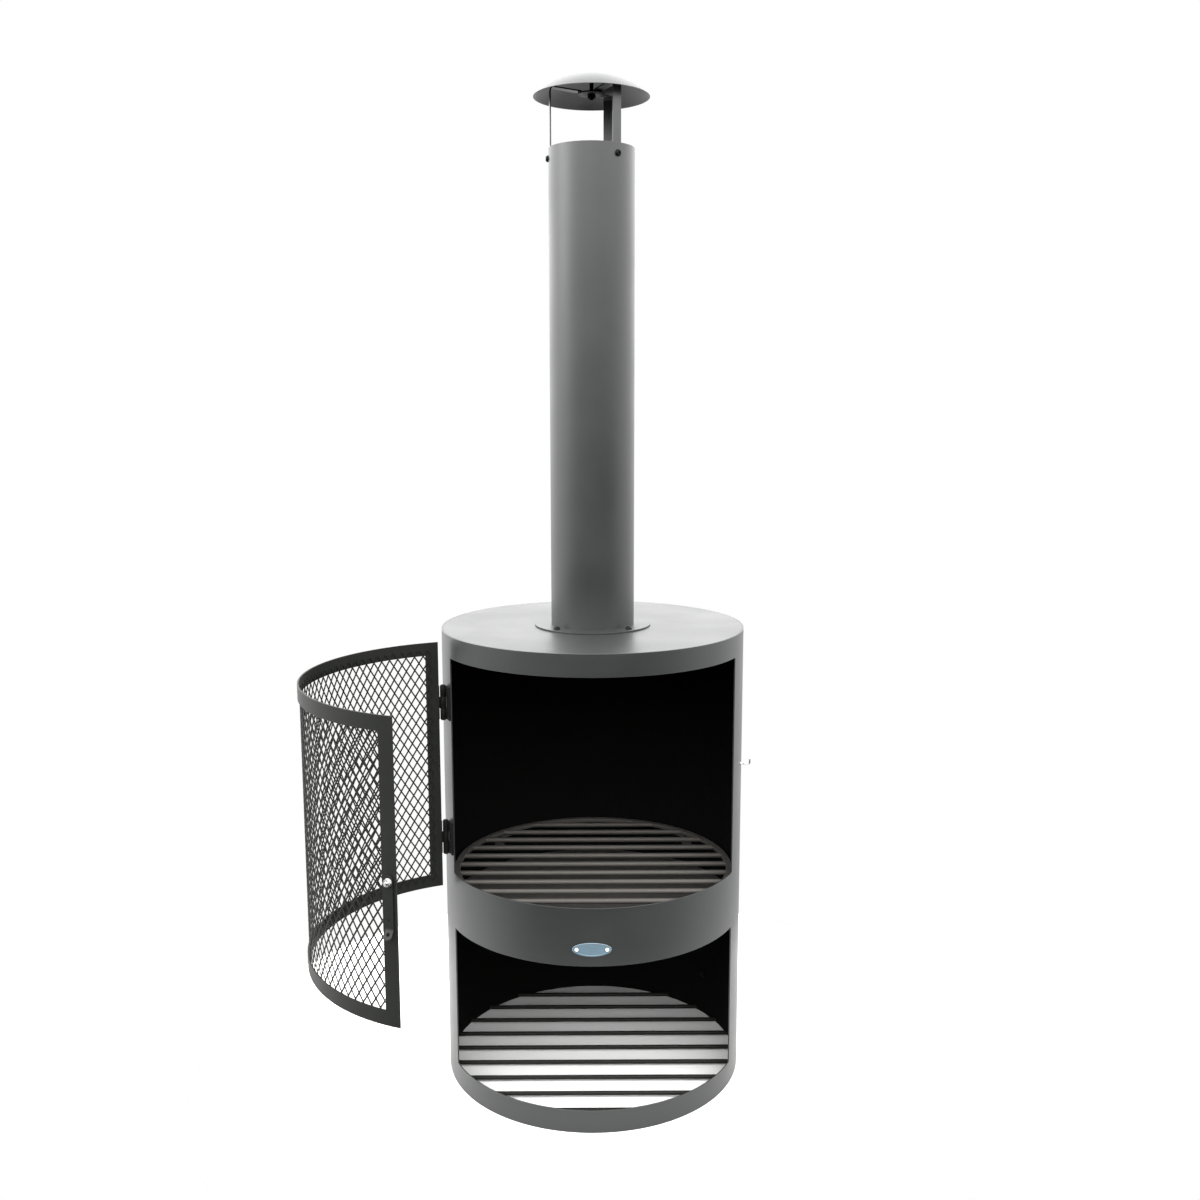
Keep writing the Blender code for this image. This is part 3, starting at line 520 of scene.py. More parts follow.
def powder_coat(name, colour, roughness, specular):
    """Satin powder coat: a fine orange peel, faint cloudiness and slightly polished edges."""
    make = Finish(name)
    cloud = make.spread(make.noise(7.0, 3.0, 0.6), 0.3, 0.7)
    grain = make.spread(make.noise(900.0, 1.0), 0.3, 0.7)
    body = make.mix(cloud, shade(colour, 0.90), shade(colour, 1.10))
    speck = make.both("MULTIPLY", make.spread(make.noise(420.0, 2.0), 0.62, 0.72), 0.35)
    body = make.mix(speck, body, shade(colour, 1.7))
    rub = make.spread(make.noise(60.0, 3.0, 0.7), 0.45, 0.65)
    worn = make.both("MULTIPLY", make.edges(0.53, 0.60), rub)
    body = make.mix(make.both("MULTIPLY", worn, 0.35), body, shade(colour, 3.0))
    gloss = make.spread(cloud, 0.0, 1.0, roughness - 0.04, roughness + 0.03)
    gloss = make.both("ADD", gloss, make.spread(grain, 0.0, 1.0, -0.02, 0.02))
    peel = make.noise(520.0, 2.0, 0.5)
    dents = make.noise(9.0, 1.0)
    return make.finish(body, gloss, [(dents, 0.04, 0.004), (peel, 0.10, 0.0004)], specular=specular)


def soot_and_painted_shade(name, colour):
    """Near-black inside faces: painted shade for the dark inside of the stove, matt black with a little
    grey ash.
    """
    make = Finish(name)
    patches = make.spread(make.noise(14.0, 5.0, 0.65), 0.40, 0.75)
    dust = make.spread(make.noise(260.0, 3.0, 0.7), 0.50, 0.80)
    ash = make.both("MULTIPLY", patches, dust)
    body = make.mix(ash, shade(colour, 1.0), shade(colour, 2.6))
    rough = make.spread(patches, 0.0, 1.0, 0.80, 0.95)
    return make.finish(body, rough, [(dust, 0.35, 0.0004)], specular=0.04)


def fire_iron(name, colour, rust):
    """Bare iron that fire has darkened: scale, ash and a little rust."""
    make = Finish(name)
    scale = make.noise(45.0, 5.0, 0.65)
    pits = make.cells(180.0)
    flakes = make.spread(make.noise(190.0, 3.0), 0.40, 0.60)
    rusty = make.both("MULTIPLY", make.spread(scale, 0.52, 0.66), flakes)
    body = make.mix(make.spread(scale, 0.3, 0.7), shade(colour, 0.7), shade(colour, 1.5))
    body = make.mix(make.both("MULTIPLY", rusty, 0.6), body, (*rust, 1.0))
    rough = make.spread(scale, 0.3, 0.7, 0.62, 0.88)
    heights = [(scale, 0.30, 0.0006), (pits, 0.25, 0.0004)]
    return make.finish(body, rough, heights, metallic=0.3, specular=0.2)


def zinc(name, colour, metallic):
    """Bright zinc plate: a faint spangle, fine drawn lines and duller patches."""
    make = Finish(name)
    spangle = make.cells(700.0)
    lines = make.noise(900.0, 2.0, 0.5, stretch=(1.0, 0.12, 1.0))
    dull = make.spread(make.noise(120.0, 3.0), 0.35, 0.70)
    body = make.mix(make.spread(spangle, 0.0, 0.8), shade(colour, 0.86), shade(colour, 1.06))
    body = make.mix(make.both("MULTIPLY", dull, 0.4), body, shade(colour, 0.55))
    worn = make.spread(dull, 0.0, 1.0, 0.24, 0.40)
    rough = make.both("ADD", worn, make.spread(lines, 0.3, 0.7, -0.04, 0.04))
    return make.finish(body, rough, [(lines, 0.12, 0.0001)], metallic=metallic)


def black_steel(name, colour, roughness):
    """Blacked steel: an oily dark oxide, rubbed a little brighter on the edges."""
    make = Finish(name)
    mottle = make.spread(make.noise(80.0, 4.0, 0.6), 0.3, 0.7)
    fine = make.noise(1100.0, 1.0)
    body = make.mix(mottle, shade(colour, 0.75), shade(colour, 1.3))
    rubbed = make.both("MULTIPLY", make.edges(0.54, 0.64), 0.45)
    body = make.mix(rubbed, body, shade(colour, 5.0))
    rough = make.spread(mottle, 0.0, 1.0, roughness - 0.06, roughness + 0.08)
    return make.finish(body, rough, [(fine, 0.12, 0.0002)], metallic=0.0, specular=0.07)


def plate_finish(name, colour):
    """Pale blue anodised plate with fine lines brushed along it."""
    make = Finish(name)
    lines = make.noise(700.0, 3.0, 0.6, stretch=(0.03, 1.0, 1.0))
    body = make.mix(make.spread(lines, 0.3, 0.7), shade(colour, 0.90), shade(colour, 1.08))
    worn = make.both("MULTIPLY", make.edges(0.53, 0.62), 0.6)
    body = make.mix(worn, body, (0.40, 0.42, 0.43, 1.0))
    rough = make.spread(lines, 0.3, 0.7, 0.30, 0.42)
    return make.finish(body, rough, [(lines, 0.10, 0.0001)], metallic=0.10, specular=0.4)


def finish_named(name):
    """The material of that name, made when it is first asked for from the finish settings."""
    made = bpy.data.materials.get(name)
    if made:
        return made
    look = bpy.context.scene.stove_finish
    matt = look.coat_roughness
    makers = {
        "grey_powder_coat": (powder_coat, look.coat_colour, matt, 0.5),
        "door_powder_coat": (powder_coat, look.door_colour, matt + 0.08, 0.12),
        "black_mesh_coat": (powder_coat, look.mesh_colour, 0.55, 0.10),
        # The inside finish is near black as painted shade, with a little grey ash.
        "sooted_inside": (soot_and_painted_shade, look.soot_and_shade_colour),
        "fire_darkened_iron": (fire_iron, look.iron_colour, look.rust_colour),
        "bright_zinc": (zinc, look.zinc_colour, 1.0),
        "pale_rivet": (zinc, look.rivet_colour, 0.2),
        "blacked_steel": (black_steel, look.black_colour, 0.46),
        "blue_plate": (plate_finish, look.plate_colour),
    }
    maker, *values = makers[name]
    return maker(name, *values)


# Pieces


def soften(made, width):
    """Rounds the sharp edges of a piece."""
    bevel = made.modifiers.new("edges", "BEVEL")
    bevel.width = width
    bevel.segments = 2
    bevel.limit_method = "ANGLE"
    bevel.angle_limit = math.radians(BEVEL_ANGLE)
    bevel.harden_normals = True
    bevel.use_clamp_overlap = True


def piece(name, mesh, finishes, node=None, body="stove", place=AT_AXIS, edge=SOFT_EDGE, sheet=None):
    """One finished piece: its materials, place, body, slot and the model's node that it stands for."""
    made = bpy.data.objects.new(name, mesh)
    bpy.context.scene.collection.objects.link(made)
    mesh.materials.clear()
    for finish in finishes:
        mesh.materials.append(finish_named(finish))
    mesh.shade_smooth()
    mesh.transform(place)
    if sheet:
        thick = made.modifiers.new("sheet", "SOLIDIFY")
        thick.thickness, thick.offset = sheet
        thick.use_even_offset = False
        thick.material_offset = len(finishes) - 1
    if edge:
        soften(made, edge)
    else:
        mesh.set_sharp_from_angle(angle=math.radians(SMOOTH_ANGLE))
    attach(made, body)
    if node:
        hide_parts(node)
    return made


def paint(mesh, index, chosen):
    """Gives a material slot to the faces that chosen picks."""
    for polygon in mesh.polygons:
        if chosen(polygon):
            polygon.material_index = index


def finer(name, node, finish="blacked_steel", body="stove", edge=SOFT_EDGE):
    """A piece made from a small node of the model, with its flat faces joined and its edges rounded."""
    work = bmesh.new()
    work.from_mesh(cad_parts[node].data)
    bmesh.ops.remove_doubles(work, verts=work.verts, dist=1e-6)
    flat_angle = math.radians(0.6)
    bmesh.ops.dissolve_limit(work, angle_limit=flat_angle, verts=work.verts, edges=work.edges)
    piece(name, finished(work, name), [finish], node, body, Matrix(), edge)


def thread(root, top, foot):
    """A thread's profile from height top down to foot. root is the share left in a groove."""
    profile = []
    height = top
    while height > foot:
        profile.append((BOLT_R * (1.0 if len(profile) % 2 else root), height))
        height -= THREAD_PITCH / 2
    return profile


def screw(name, node, sizes, place, finishes=("blacked_steel",)):
    """A round-headed screw with its seat at height 0. A second finish is for its tip."""
    head_r, head_t, shank_to = sizes
    half_pitch = THREAD_PITCH / 2
    profile = [(head_r * out, head_t * up) for out, up in SCREW_HEAD]
    profile += [(BOLT_R, 0.0), (BOLT_R, PLAIN_SHANK)]
    profile += thread(0.86, PLAIN_SHANK - half_pitch, shank_to + half_pitch)
    profile += [(BOLT_R * 0.84, shank_to), (0.0, shank_to)]
    mesh = turned(name, profile, SCREW_STEPS)
    if len(finishes) > 1:
        paint(mesh, 1, lambda face: face.center.z < -SHEET)
    piece(name, mesh, finishes, node, place=place, edge=0.0)


def bent_strip(name, path, thickness, width, bend):
    """A flat strip bent along a path of (radius, height) points."""
    return flat(name, [strip_outline(rounded(path, bend), thickness)], -width / 2, width / 2)


# Settings


def tint(name, description, default):
    """A colour that the user may change."""
    return bpy.props.FloatVectorProperty(
        name=name, description=description, subtype="COLOR", default=default, min=0.0, max=1.0
    )


def number(name, description, default, low=0.0, high=20.0, **kind):
    """A number that the user may change."""
    return bpy.props.FloatProperty(
        name=name, description=description, default=default, min=low, max=high, **kind
    )


length = partial(number, unit="LENGTH")
slant = partial(number, low=-1.5, high=1.5, subtype="ANGLE")
power = partial(number, high=10000.0, unit="POWER")


class FinishSettings(bpy.types.PropertyGroup):
    """The stove's colours."""

    coat_colour: tint("Coat", "Powder coat of the drum, chimney and cap", (0.0058, 0.0068, 0.0063))
    coat_roughness: number("Roughness", "How matt the powder coat is", 0.40, high=1.0, subtype="FACTOR")
    door_colour: tint("Door coat", "Powder coat of the door's frame", (0.0055, 0.0060, 0.0050))
    mesh_colour: tint("Door mesh", "Coat of the mesh and the log rests", (0.0040, 0.0043, 0.0034))
    # Near-black inside colour: painted shade for the dark inside of the stove and the parts under the
    # cap, plus a little ash.
    soot_and_shade_colour: tint("Soot", "Inside faces of the drum and pipe", (0.0012, 0.0012, 0.0012))
    iron_colour: tint("Iron", "Grate, floor and tabs", (0.010, 0.0095, 0.009))
    rust_colour: tint("Rust", "Rust on the iron", (0.026, 0.013, 0.008))
    zinc_colour: tint("Zinc", "Plated nuts, bolts, latch tab and peg", (0.50, 0.50, 0.485))
    rivet_colour: tint("Rivets", "Rivets of the nameplate", (0.72, 0.72, 0.70))
    black_colour: tint("Black steel", "Hinges, cap hub and screws", (0.0022, 0.0022, 0.0021))
    plate_colour: tint("Nameplate", "Face of the oval plate", (0.057, 0.087, 0.109))


class DoorSettings(bpy.types.PropertyGroup):
    """The door's expanded mesh."""

    cell_width: length("Cell width", "Width of one diamond of the mesh", 0.0132, 0.005, 0.05)
    cell_height: length("Cell height", "Height of one diamond of the mesh", 0.0196, 0.005, 0.08)
    strand: length("Strand", "Width of the mesh's strands", 0.0020, 0.0005, 0.006)
    strand_t: length("Strand thickness", "Thickness of the mesh's sheet", 0.0009, 0.0003, 0.0012)
    tilt: length("Strand tilt", "How far a strand's upper edge stands proud", 0.0002, 0.0, 0.0005)


class DrumSettings(bpy.types.PropertyGroup):
    """The drum's sheet."""

    radius: length("Radius", "Outer radius of the drum", DRUM_R, 0.05, 1.0)
    height: length("Height", "Height of the drum", DRUM_TOP, 0.1, 2.0)
    sheet: length("Sheet", "Thickness of the drum's sheet", SHEET, 0.0005, 0.01)
    edge: length("Edge", "Rounding of the cut edges", 0.0004, 0.0, 0.001)


class StageSettings(bpy.types.PropertyGroup):
    """The floor, the light and the camera."""

    floor_colour: tint("Floor", "Colour of the floor", (0.44, 0.44, 0.437))
    floor_radius: length("Floor radius", "Radius of the round floor", 0.62, 0.5, 20.0)
    low_wall: number("Low wall", "Brightness of the studio behind the stove, low down", 1.5)
    high_wall: number("High wall", "Brightness of the studio behind the stove, higher up", 4.1)
    low_front: number("Low front", "Brightness of the room in front of the stove, low down", 0.05)
    high_front: number("High front", "Brightness of the room in front of the stove, higher up", 9.4)
    ceiling: number("Ceiling", "How much brighter the studio is overhead", 1.5)
    left: number("Left", "How much brighter the studio is far to the left", 1.65)
    right: number("Right", "How much brighter the studio is far to the right", 1.25)
    key: power("Key light", "Power of the soft light over the camera", 15.0)
    side: power("Side light", "Power of the soft light high on the left", 36.0)
    lens: number("Lens", "Focal length on a 36 mm sensor", 37.40, 10.0, 200.0, unit="CAMERA")
    camera_back: length(
        "Camera distance", "Distance of the camera from the drum's axis", 1.8660, 0.5, 10.0
    )
    camera_height: length("Camera height", "Height of the camera", 1.0303, 0.0, 5.0)
    camera_tilt: slant("Camera tilt", "How far the camera looks down", math.radians(9.0146))
    camera_turn: slant("Camera turn", "How far the camera looks to the right", math.radians(0.344))
    camera_roll: slant("Camera roll", "How far the camera leans", math.radians(-0.065))


# Operators


class STOVE_OT_stage(bpy.types.Operator):
    """Make the floor, the studio light and the camera"""

    bl_idname = "stove.stage"
    bl_label = "Stage"

    def execute(self, context):
        stage = context.scene.stove_stage
        self.floor(stage)
        self.studio(context.scene, stage)
        self.soft_light("key_light", stage.key, *KEY_LIGHT)
        self.soft_light("side_light", stage.side, *SIDE_LIGHT)
        self.camera(context.scene, stage)
        context.scene.view_settings.view_transform = "Standard"
        return {"FINISHED"}

    def floor(self, stage):
        """A plain round floor."""
        work = bmesh.new()
        bmesh.ops.create_circle(work, cap_ends=True, segments=128, radius=stage.floor_radius)
        mesh = finished(work, "floor", turn_outwards=False)
        make = Finish("pale_floor")
        cloud = make.spread(make.noise(1.5, 3.0), 0.3, 0.7)
        colour = make.mix(cloud, shade(stage.floor_colour, 0.985), shade(stage.floor_colour, 1.0))
        grain = make.noise(300.0, 2.0)
        mesh.materials.append(make.finish(colour, 0.85, [(grain, 0.03, 0.0002)], specular=0.15))
        made = bpy.data.objects.new("floor", mesh)
        made.location = AXIS
        bpy.context.scene.collection.objects.link(made)

    def studio(self, scene, stage):
        """Soft light from all round: bright walls and ceiling, and a front that is dim low down."""
        scene.world = bpy.data.worlds.new("studio")
        scene.world.use_nodes = True
        scene.world.node_tree.nodes.clear()
        make = Nodes(scene.world.node_tree)
        direction = make.add("ShaderNodeTexCoord").outputs["Generated"]
        parts = make.add("ShaderNodeSeparateXYZ", {0: direction}).outputs

        def ramp(axis, span, low, high):
            return make.spread(parts[axis], *span, low, high, interpolation_type="SMOOTHSTEP")

        walls = ramp("Z", WALL_RISE, stage.low_wall, stage.high_wall)
        front = ramp("Z", FRONT_RISE, stage.low_front, stage.high_front)
        light = ramp("Y", FRONT_TO_WALLS, front, walls)
        light = make.both("MULTIPLY", light, ramp("X", LEFT_RISE, 1.0, stage.left))
        light = make.both("MULTIPLY", light, ramp("X", RIGHT_RISE, 1.0, stage.right))
        light = make.both("MULTIPLY", light, ramp("Z", CEILING_RISE, 1.0, stage.ceiling))
        lit = make.add("ShaderNodeBackground", {"Strength": light}).outputs[0]
        seen = make.add("ShaderNodeBackground", {"Color": (1.0, 1.0, 1.0, 1.0)}).outputs[0]
        is_camera = make.add("ShaderNodeLightPath").outputs["Is Camera Ray"]
        either = make.add("ShaderNodeMixShader", {0: is_camera, 1: lit, 2: seen}).outputs[0]
        make.add("ShaderNodeOutputWorld", {"Surface": either})

    def soft_light(self, name, power, size, place, aim_z):
        """A wide soft light, placed from the drum's axis and aimed at a height on it."""
        light = bpy.data.lights.new(name, "AREA")
        light.shape = "RECTANGLE"
        light.size, light.size_y = size
        light.energy = power
        made = bpy.data.objects.new(name, light)
        bpy.context.scene.collection.objects.link(made)
        made.location = AXIS + Vector(place)
        aim = AXIS + Vector((0.0, 0.0, aim_z)) - made.location
        made.rotation_mode = "QUATERNION"
        made.rotation_quaternion = aim.to_track_quat("-Z", "Y")

    def camera(self, scene, stage):
        """The camera, a little above the middle of the stove and looking down at it."""
        data = bpy.data.cameras.new("camera")
        data.sensor_width = 36.0
        data.lens = stage.lens
        made = bpy.data.objects.new("camera", data)
        scene.collection.objects.link(made)
        turn = Matrix.Rotation(-stage.camera_turn, 4, "Z")
        tilt = Matrix.Rotation(math.pi / 2 - stage.camera_tilt, 4, "X")
        roll = Matrix.Rotation(stage.camera_roll, 4, "Z")
        stand = Matrix.Translation(AXIS + Vector((0.0, -stage.camera_back, stage.camera_height)))
        made.matrix_world = stand @ turn @ tilt @ roll
        scene.camera = made


class STOVE_OT_drum(bpy.types.Operator):
    """Make the drum, its top plate and the floor of the fire chamber"""

    bl_idname = "stove.drum"
    bl_label = "Drum"

    def execute(self, context):
        drum = context.scene.stove_drum
        azimuths = spread(-180.0, 180.0, DRUM_STEP)[:-1]
        heights = [0.0, *LOG_CUT, *FIRE_CUT, drum.height]

        def cut_out(azimuth, height):
            fire = FIRE_CUT[0] < height < FIRE_CUT[1]
            log = LOG_CUT[0] < height < LOG_CUT[1]
            return abs(azimuth) < CUT_HALF_ANGLE and (fire or log)

        mesh = rolled("drum_shell", drum.radius, azimuths, heights, cut_out, closed=True)
        # The drum's and top plate's inside faces take the near-black finish as painted shade.
        coats = ["grey_powder_coat", "sooted_inside"]
        piece("drum_shell", mesh, coats, "body_drum", edge=drum.edge, sheet=(drum.sheet, -1.0))

        heights = spread(SEAM_MARGIN, drum.height - SEAM_MARGIN, SEAM_STEP)
        path = [around(drum.radius - SEAM_SUNK, SEAM_AZIMUTH, height) for height in heights]
        swell = [SEAM_R + SEAM_SWELL * math.sin(height * SEAM_WAVES) for height in heights]
        work = bmesh.new()
        rod(work, path, swell, 10)
        piece("drum_seam", finished(work, "drum_seam"), ["grey_powder_coat"], edge=0.0)

        plate_r = drum.radius - drum.sheet - GAP / 3
        outlines = [circle(plate_r, PLATE_STEPS), circle(FLUE_HOLE_R, FLUE_STEPS)]
        mesh = flat("top_disc", outlines, PLATE_LOW.z, PLATE_HIGH.z)
        paint(mesh, 1, lambda face: face.normal.z < -0.5)
        piece("top_disc", mesh, coats, "top_plate", edge=FINE_EDGE)
        mesh = flat("chamber_floor", outlines[:1], FLOOR_LOW.z, FLOOR_HIGH.z)
        paint(mesh, 1, lambda face: face.normal.z < -0.5)
        # The chamber floor's underside takes the near-black finish as painted shade.
        irons = ["fire_darkened_iron", "sooted_inside"]
        piece("chamber_floor", mesh, irons, "firebox_floor", edge=FINE_EDGE)
        return {"FINISHED"}


class STOVE_OT_log_rests(bpy.types.Operator):
    """Make the round bars across the bottom that the logs lie on"""

    bl_idname = "stove.log_rests"
    bl_label = "Log rests"

    def execute(self, context):
        drum = context.scene.stove_drum
        wall = drum.radius - drum.sheet
        for number in range(BASE_BAR_COUNT):
            y = (number - (BASE_BAR_COUNT - 1) / 2) * BASE_BAR_PITCH
            half = math.sqrt((wall - GAP) ** 2 - (abs(y) + BASE_BAR_R) ** 2)
            work = bmesh.new()
            crossbar(work, y, BASE_BAR_Z, half, BASE_BAR_R, 20)
            name = f"log_rest_{number + 1}"
            piece(name, finished(work, name), ["black_mesh_coat"], f"base_bar_{number + 1}", edge=0.0)
        return {"FINISHED"}


class STOVE_OT_fire_grate(bpy.types.Operator):
    """Make the loose fire grate and the tabs that it lies on"""

    bl_idname = "stove.fire_grate"
    bl_label = "Fire grate"

    def execute(self, context):
        inner, outer = GRATE_RING
        low, high = GRATE_Z - GRATE_RING_T / 2, GRATE_Z + GRATE_RING_T / 2
        soft = GRATE_RING_SOFT
        profile = [(outer - soft, high), (outer, high - soft)]
        profile += [(outer, low + soft), (outer - soft, low), (inner + soft, low), (inner, low + soft)]
        profile += [(inner, high - soft), (inner + soft, high)]
        work = bmesh.new()
        work.from_mesh(turned("grate_ring", profile, ROUND_STEPS))
        for number in range(-GRATE_BARS_EACH_SIDE, GRATE_BARS_EACH_SIDE + 1):
            y = number * GRATE_BAR_PITCH
            half = math.sqrt(((inner + outer) / 2) ** 2 - y**2)
            crossbar(work, y, GRATE_Z, half, GRATE_BAR_R, 16)
        iron = ["fire_darkened_iron"]
        piece("round_grate", finished(work, "round_grate"), iron, "fire_grate", "grate", edge=0.0)

        shelf_z = GRATE_Z - GRATE_BAR_R - GAP - TAB_T / 2
        wall_r = context.scene.stove_drum.radius - SHEET - TAB_WALL_GAP - TAB_T / 2
        path = [(wall_r, shelf_z - TAB_LEG), (wall_r, shelf_z), (wall_r - TAB_REACH, shelf_z)]
        for number, azimuth in enumerate(TAB_AZIMUTHS, 1):
            name = f"grate_shelf_{number}"
            mesh = bent_strip(name, path, TAB_T, TAB_WIDTH, TAB_BEND)
            piece(name, mesh, iron, f"grate_tab_{number}", place=AT_AXIS @ sideways(azimuth))
        return {"FINISHED"}


class STOVE_OT_chimney(bpy.types.Operator):
    """Make the chimney pipe, its flange, and the flange's bolts and nuts"""

    bl_idname = "stove.chimney"
    bl_label = "Chimney"

    def execute(self, context):
        inner = PIPE_R - PIPE_WALL
        heights = spread(PIPE_HIGH.z, PIPE_LOW.z, PIPE_RING)
        profile = [(PIPE_R, height) for height in heights]
        profile += [(inner, height) for height in reversed(heights)]
        mesh = turned("chimney_tube", profile, ROUND_STEPS)
        paint(mesh, 1, lambda face: Vector(face.center).xy.length < PIPE_R - PIPE_WALL * 0.6)
        # The pipe's inside faces take the near-black finish as painted shade.
        coats = ["grey_powder_coat", "sooted_inside"]
        piece("chimney_tube", mesh, coats, "chimney_pipe", edge=PIPE_EDGE)

        outlines = [circle(FLANGE_R, ROUND_STEPS), circle(PIPE_R, ROUND_STEPS)]
        mesh = flat("flange_ring", outlines, FLANGE_LOW.z, FLANGE_HIGH.z)
        piece("flange_ring", mesh, ["grey_powder_coat"], "chimney_flange", edge=BROAD_EDGE)

        for number, azimuth in enumerate(FLANGE_BOLT_AZIMUTHS, 1):
            place = around(FLANGE_BOLT_CIRCLE_R, azimuth, FLANGE_HIGH.z + GAP)
            seat = AT_AXIS @ Matrix.Translation(place)
            screw(f"flange_screw_{number}", f"flange_bolt_{number}", FLANGE_SCREW, seat)
            finer(f"flange_hex_{number}", f"flange_nut_{number}")
        return {"FINISHED"}


class STOVE_OT_rain_cap(bpy.types.Operator):
    """Make the rain cap: the dome, its legs, hub, stud, nuts and screws"""

    bl_idname = "stove.rain_cap"
    bl_label = "Rain cap"

    def execute(self, context):
        self.dome()
        finer("cap_disc", "cap_hub", edge=FINE_EDGE)
        crown = DOME_HIGH.z - DOME_T - GAP
        profile = [(0.0, crown)]
        for index, height in enumerate(spread(crown, STUD_FOOT_Z + STUD_POINT, THREAD_PITCH / 2)):
            profile.append((STUD_R * (STUD_ROOT if index % 2 else 1.0), height))
        profile += [(STUD_POINT_R, STUD_FOOT_Z), (0.0, STUD_FOOT_Z)]
        # The stud and its nut under the cap take the near-black finish as painted shade under the dome.
        piece("cap_thread", turned("cap_thread", profile, 24), ["sooted_inside"], "cap_stud", edge=0.0)
        finer("cap_hex", "cap_nut", "sooted_inside")
        for number, azimuth in enumerate(LEG_AZIMUTHS, 1):
            name = f"cap_strip_{number}"
            mesh = bent_strip(name, LEG_PATH, LEG_T, LEG_WIDTH, LEG_BEND)
            place = AT_AXIS @ sideways(azimuth)
            piece(name, mesh, ["grey_powder_coat"], f"cap_leg_{number}", place=place)
            seat = AT_AXIS @ outward(PIPE_R + GAP, azimuth, LEG_SCREW_Z)
            screw(f"cap_bolt_{number}", f"cap_screw_{number}", CAP_SCREW, seat)
            finer(f"cap_bolt_hex_{number}", f"cap_screw_nut_{number}")
        return {"FINISHED"}

    def dome(self):
        """A shallow spun dome with a smooth rim."""
        rise = DOME_HIGH.z - DOME_LOW.z
        ball = (DOME_RIM_R**2 + rise**2) / (2 * rise)
        inner = ball - DOME_T
        centre = DOME_HIGH.z - ball
        rim = math.asin(DOME_RIM_R / ball)
        inner_rim = math.acos((DOME_LOW.z - centre) / inner)
        profile = [(ball, rim * step / DOME_RINGS) for step in range(DOME_RINGS + 1)]
        profile += [(inner, inner_rim * step / DOME_RINGS) for step in range(DOME_RINGS, -1, -1)]
        profile = [(size * math.sin(angle), centre + size * math.cos(angle)) for size, angle in profile]
        mesh = turned("cap_shell", profile, ROUND_STEPS)
        piece("cap_shell", mesh, ["grey_powder_coat"], "cap_dome", edge=BROAD_EDGE)


class STOVE_OT_door(bpy.types.Operator):
    """Make the curved door: its frame and its expanded mesh"""

    bl_idname = "stove.door"
    bl_label = "Door"

    def execute(self, context):
        bar = math.degrees(DOOR_BAR / DOOR_R)
        low, high = DOOR_LOW.z, DOOR_HIGH.z
        left, right = DOOR_START + bar, DOOR_END - bar
        azimuths = spread(DOOR_START, left, DOOR_STEP)
        azimuths += spread(left, right, DOOR_STEP)[1:] + spread(right, DOOR_END, DOOR_STEP)[1:]
        heights = [low, low + DOOR_BAR, high - DOOR_BAR, high]

        def window(azimuth, height):
            return left < azimuth < right and heights[1] < height < heights[2]

        mesh = rolled("door_rim", DOOR_R, azimuths, heights, window)
        piece("door_rim", mesh, ["door_powder_coat"], "door_frame", "door", SWING, sheet=(SHEET, 1.0))

        door = context.scene.stove_door
        sheet = (door.strand_t, 0.0)
        mesh = self.lattice(door)
        piece("door_lattice", mesh, ["black_mesh_coat"], "door_mesh", "door", SWING, STRAND_EDGE, sheet)
        return {"FINISHED"}

    def lattice(self, door):
        """Expanded metal: staggered diamonds whose strands lean, with each upper edge proud."""
        start, end = MESH_SPAN
        low, high = MESH_Z
        middle_r = MESH_R + MESH_MIDDLE
        across = round(math.radians(end - start) * middle_r / door.cell_width)
        up = round((high - low) / door.cell_height)
        cell_angle = (end - start) / across
        cell_height = (high - low) / up
        half_width = math.radians(cell_angle) * middle_r / 2
        half_height = cell_height / 2
        inset = door.strand / 2 * math.hypot(half_width, half_height) / (half_width * half_height)
        work = bmesh.new()

        def corner(column, row, lean):
            azimuth = start + column * cell_angle / 2
            return work.verts.new(around(middle_r + lean, azimuth, low + row * half_height))

        def diamond(column, row):
            rim = [(column - 1, row), (column, row - 1), (column + 1, row), (column, row + 1)]
            leans = (0.0, door.tilt, 0.0, -door.tilt)
            keep = 1 - inset
            hole = [(column + (c - column) * keep, row + (r - row) * keep) for c, r in rim]
            outside = [corner(c, r, 0.0) for c, r in rim]
            inside = [corner(c, r, lean) for (c, r), lean in zip(hole, leans)]
            join_rings(work, [outside, inside])

        for row in range(1, 2 * up):
            for column in range(1, 2 * across):
                if (row + column) % 2 == 0:
                    diamond(column, row)
        return finished(work, "door_lattice", turn_outwards=False)


class STOVE_OT_hinges(bpy.types.Operator):
    """Make the two hinges: their leaves and pins"""

    bl_idname = "stove.hinges"
    bl_label = "Hinges"

    def execute(self, context):
        for label in ("upper", "lower"):
            finer(f"{label}_drum_leaf", f"hinge_{label}_body_leaf")
            finer(f"{label}_door_leaf", f"hinge_{label}_door_leaf", body="door")
            finer(f"{label}_hinge_pin", f"hinge_{label}_pin", edge=BROAD_EDGE)
        return {"FINISHED"}


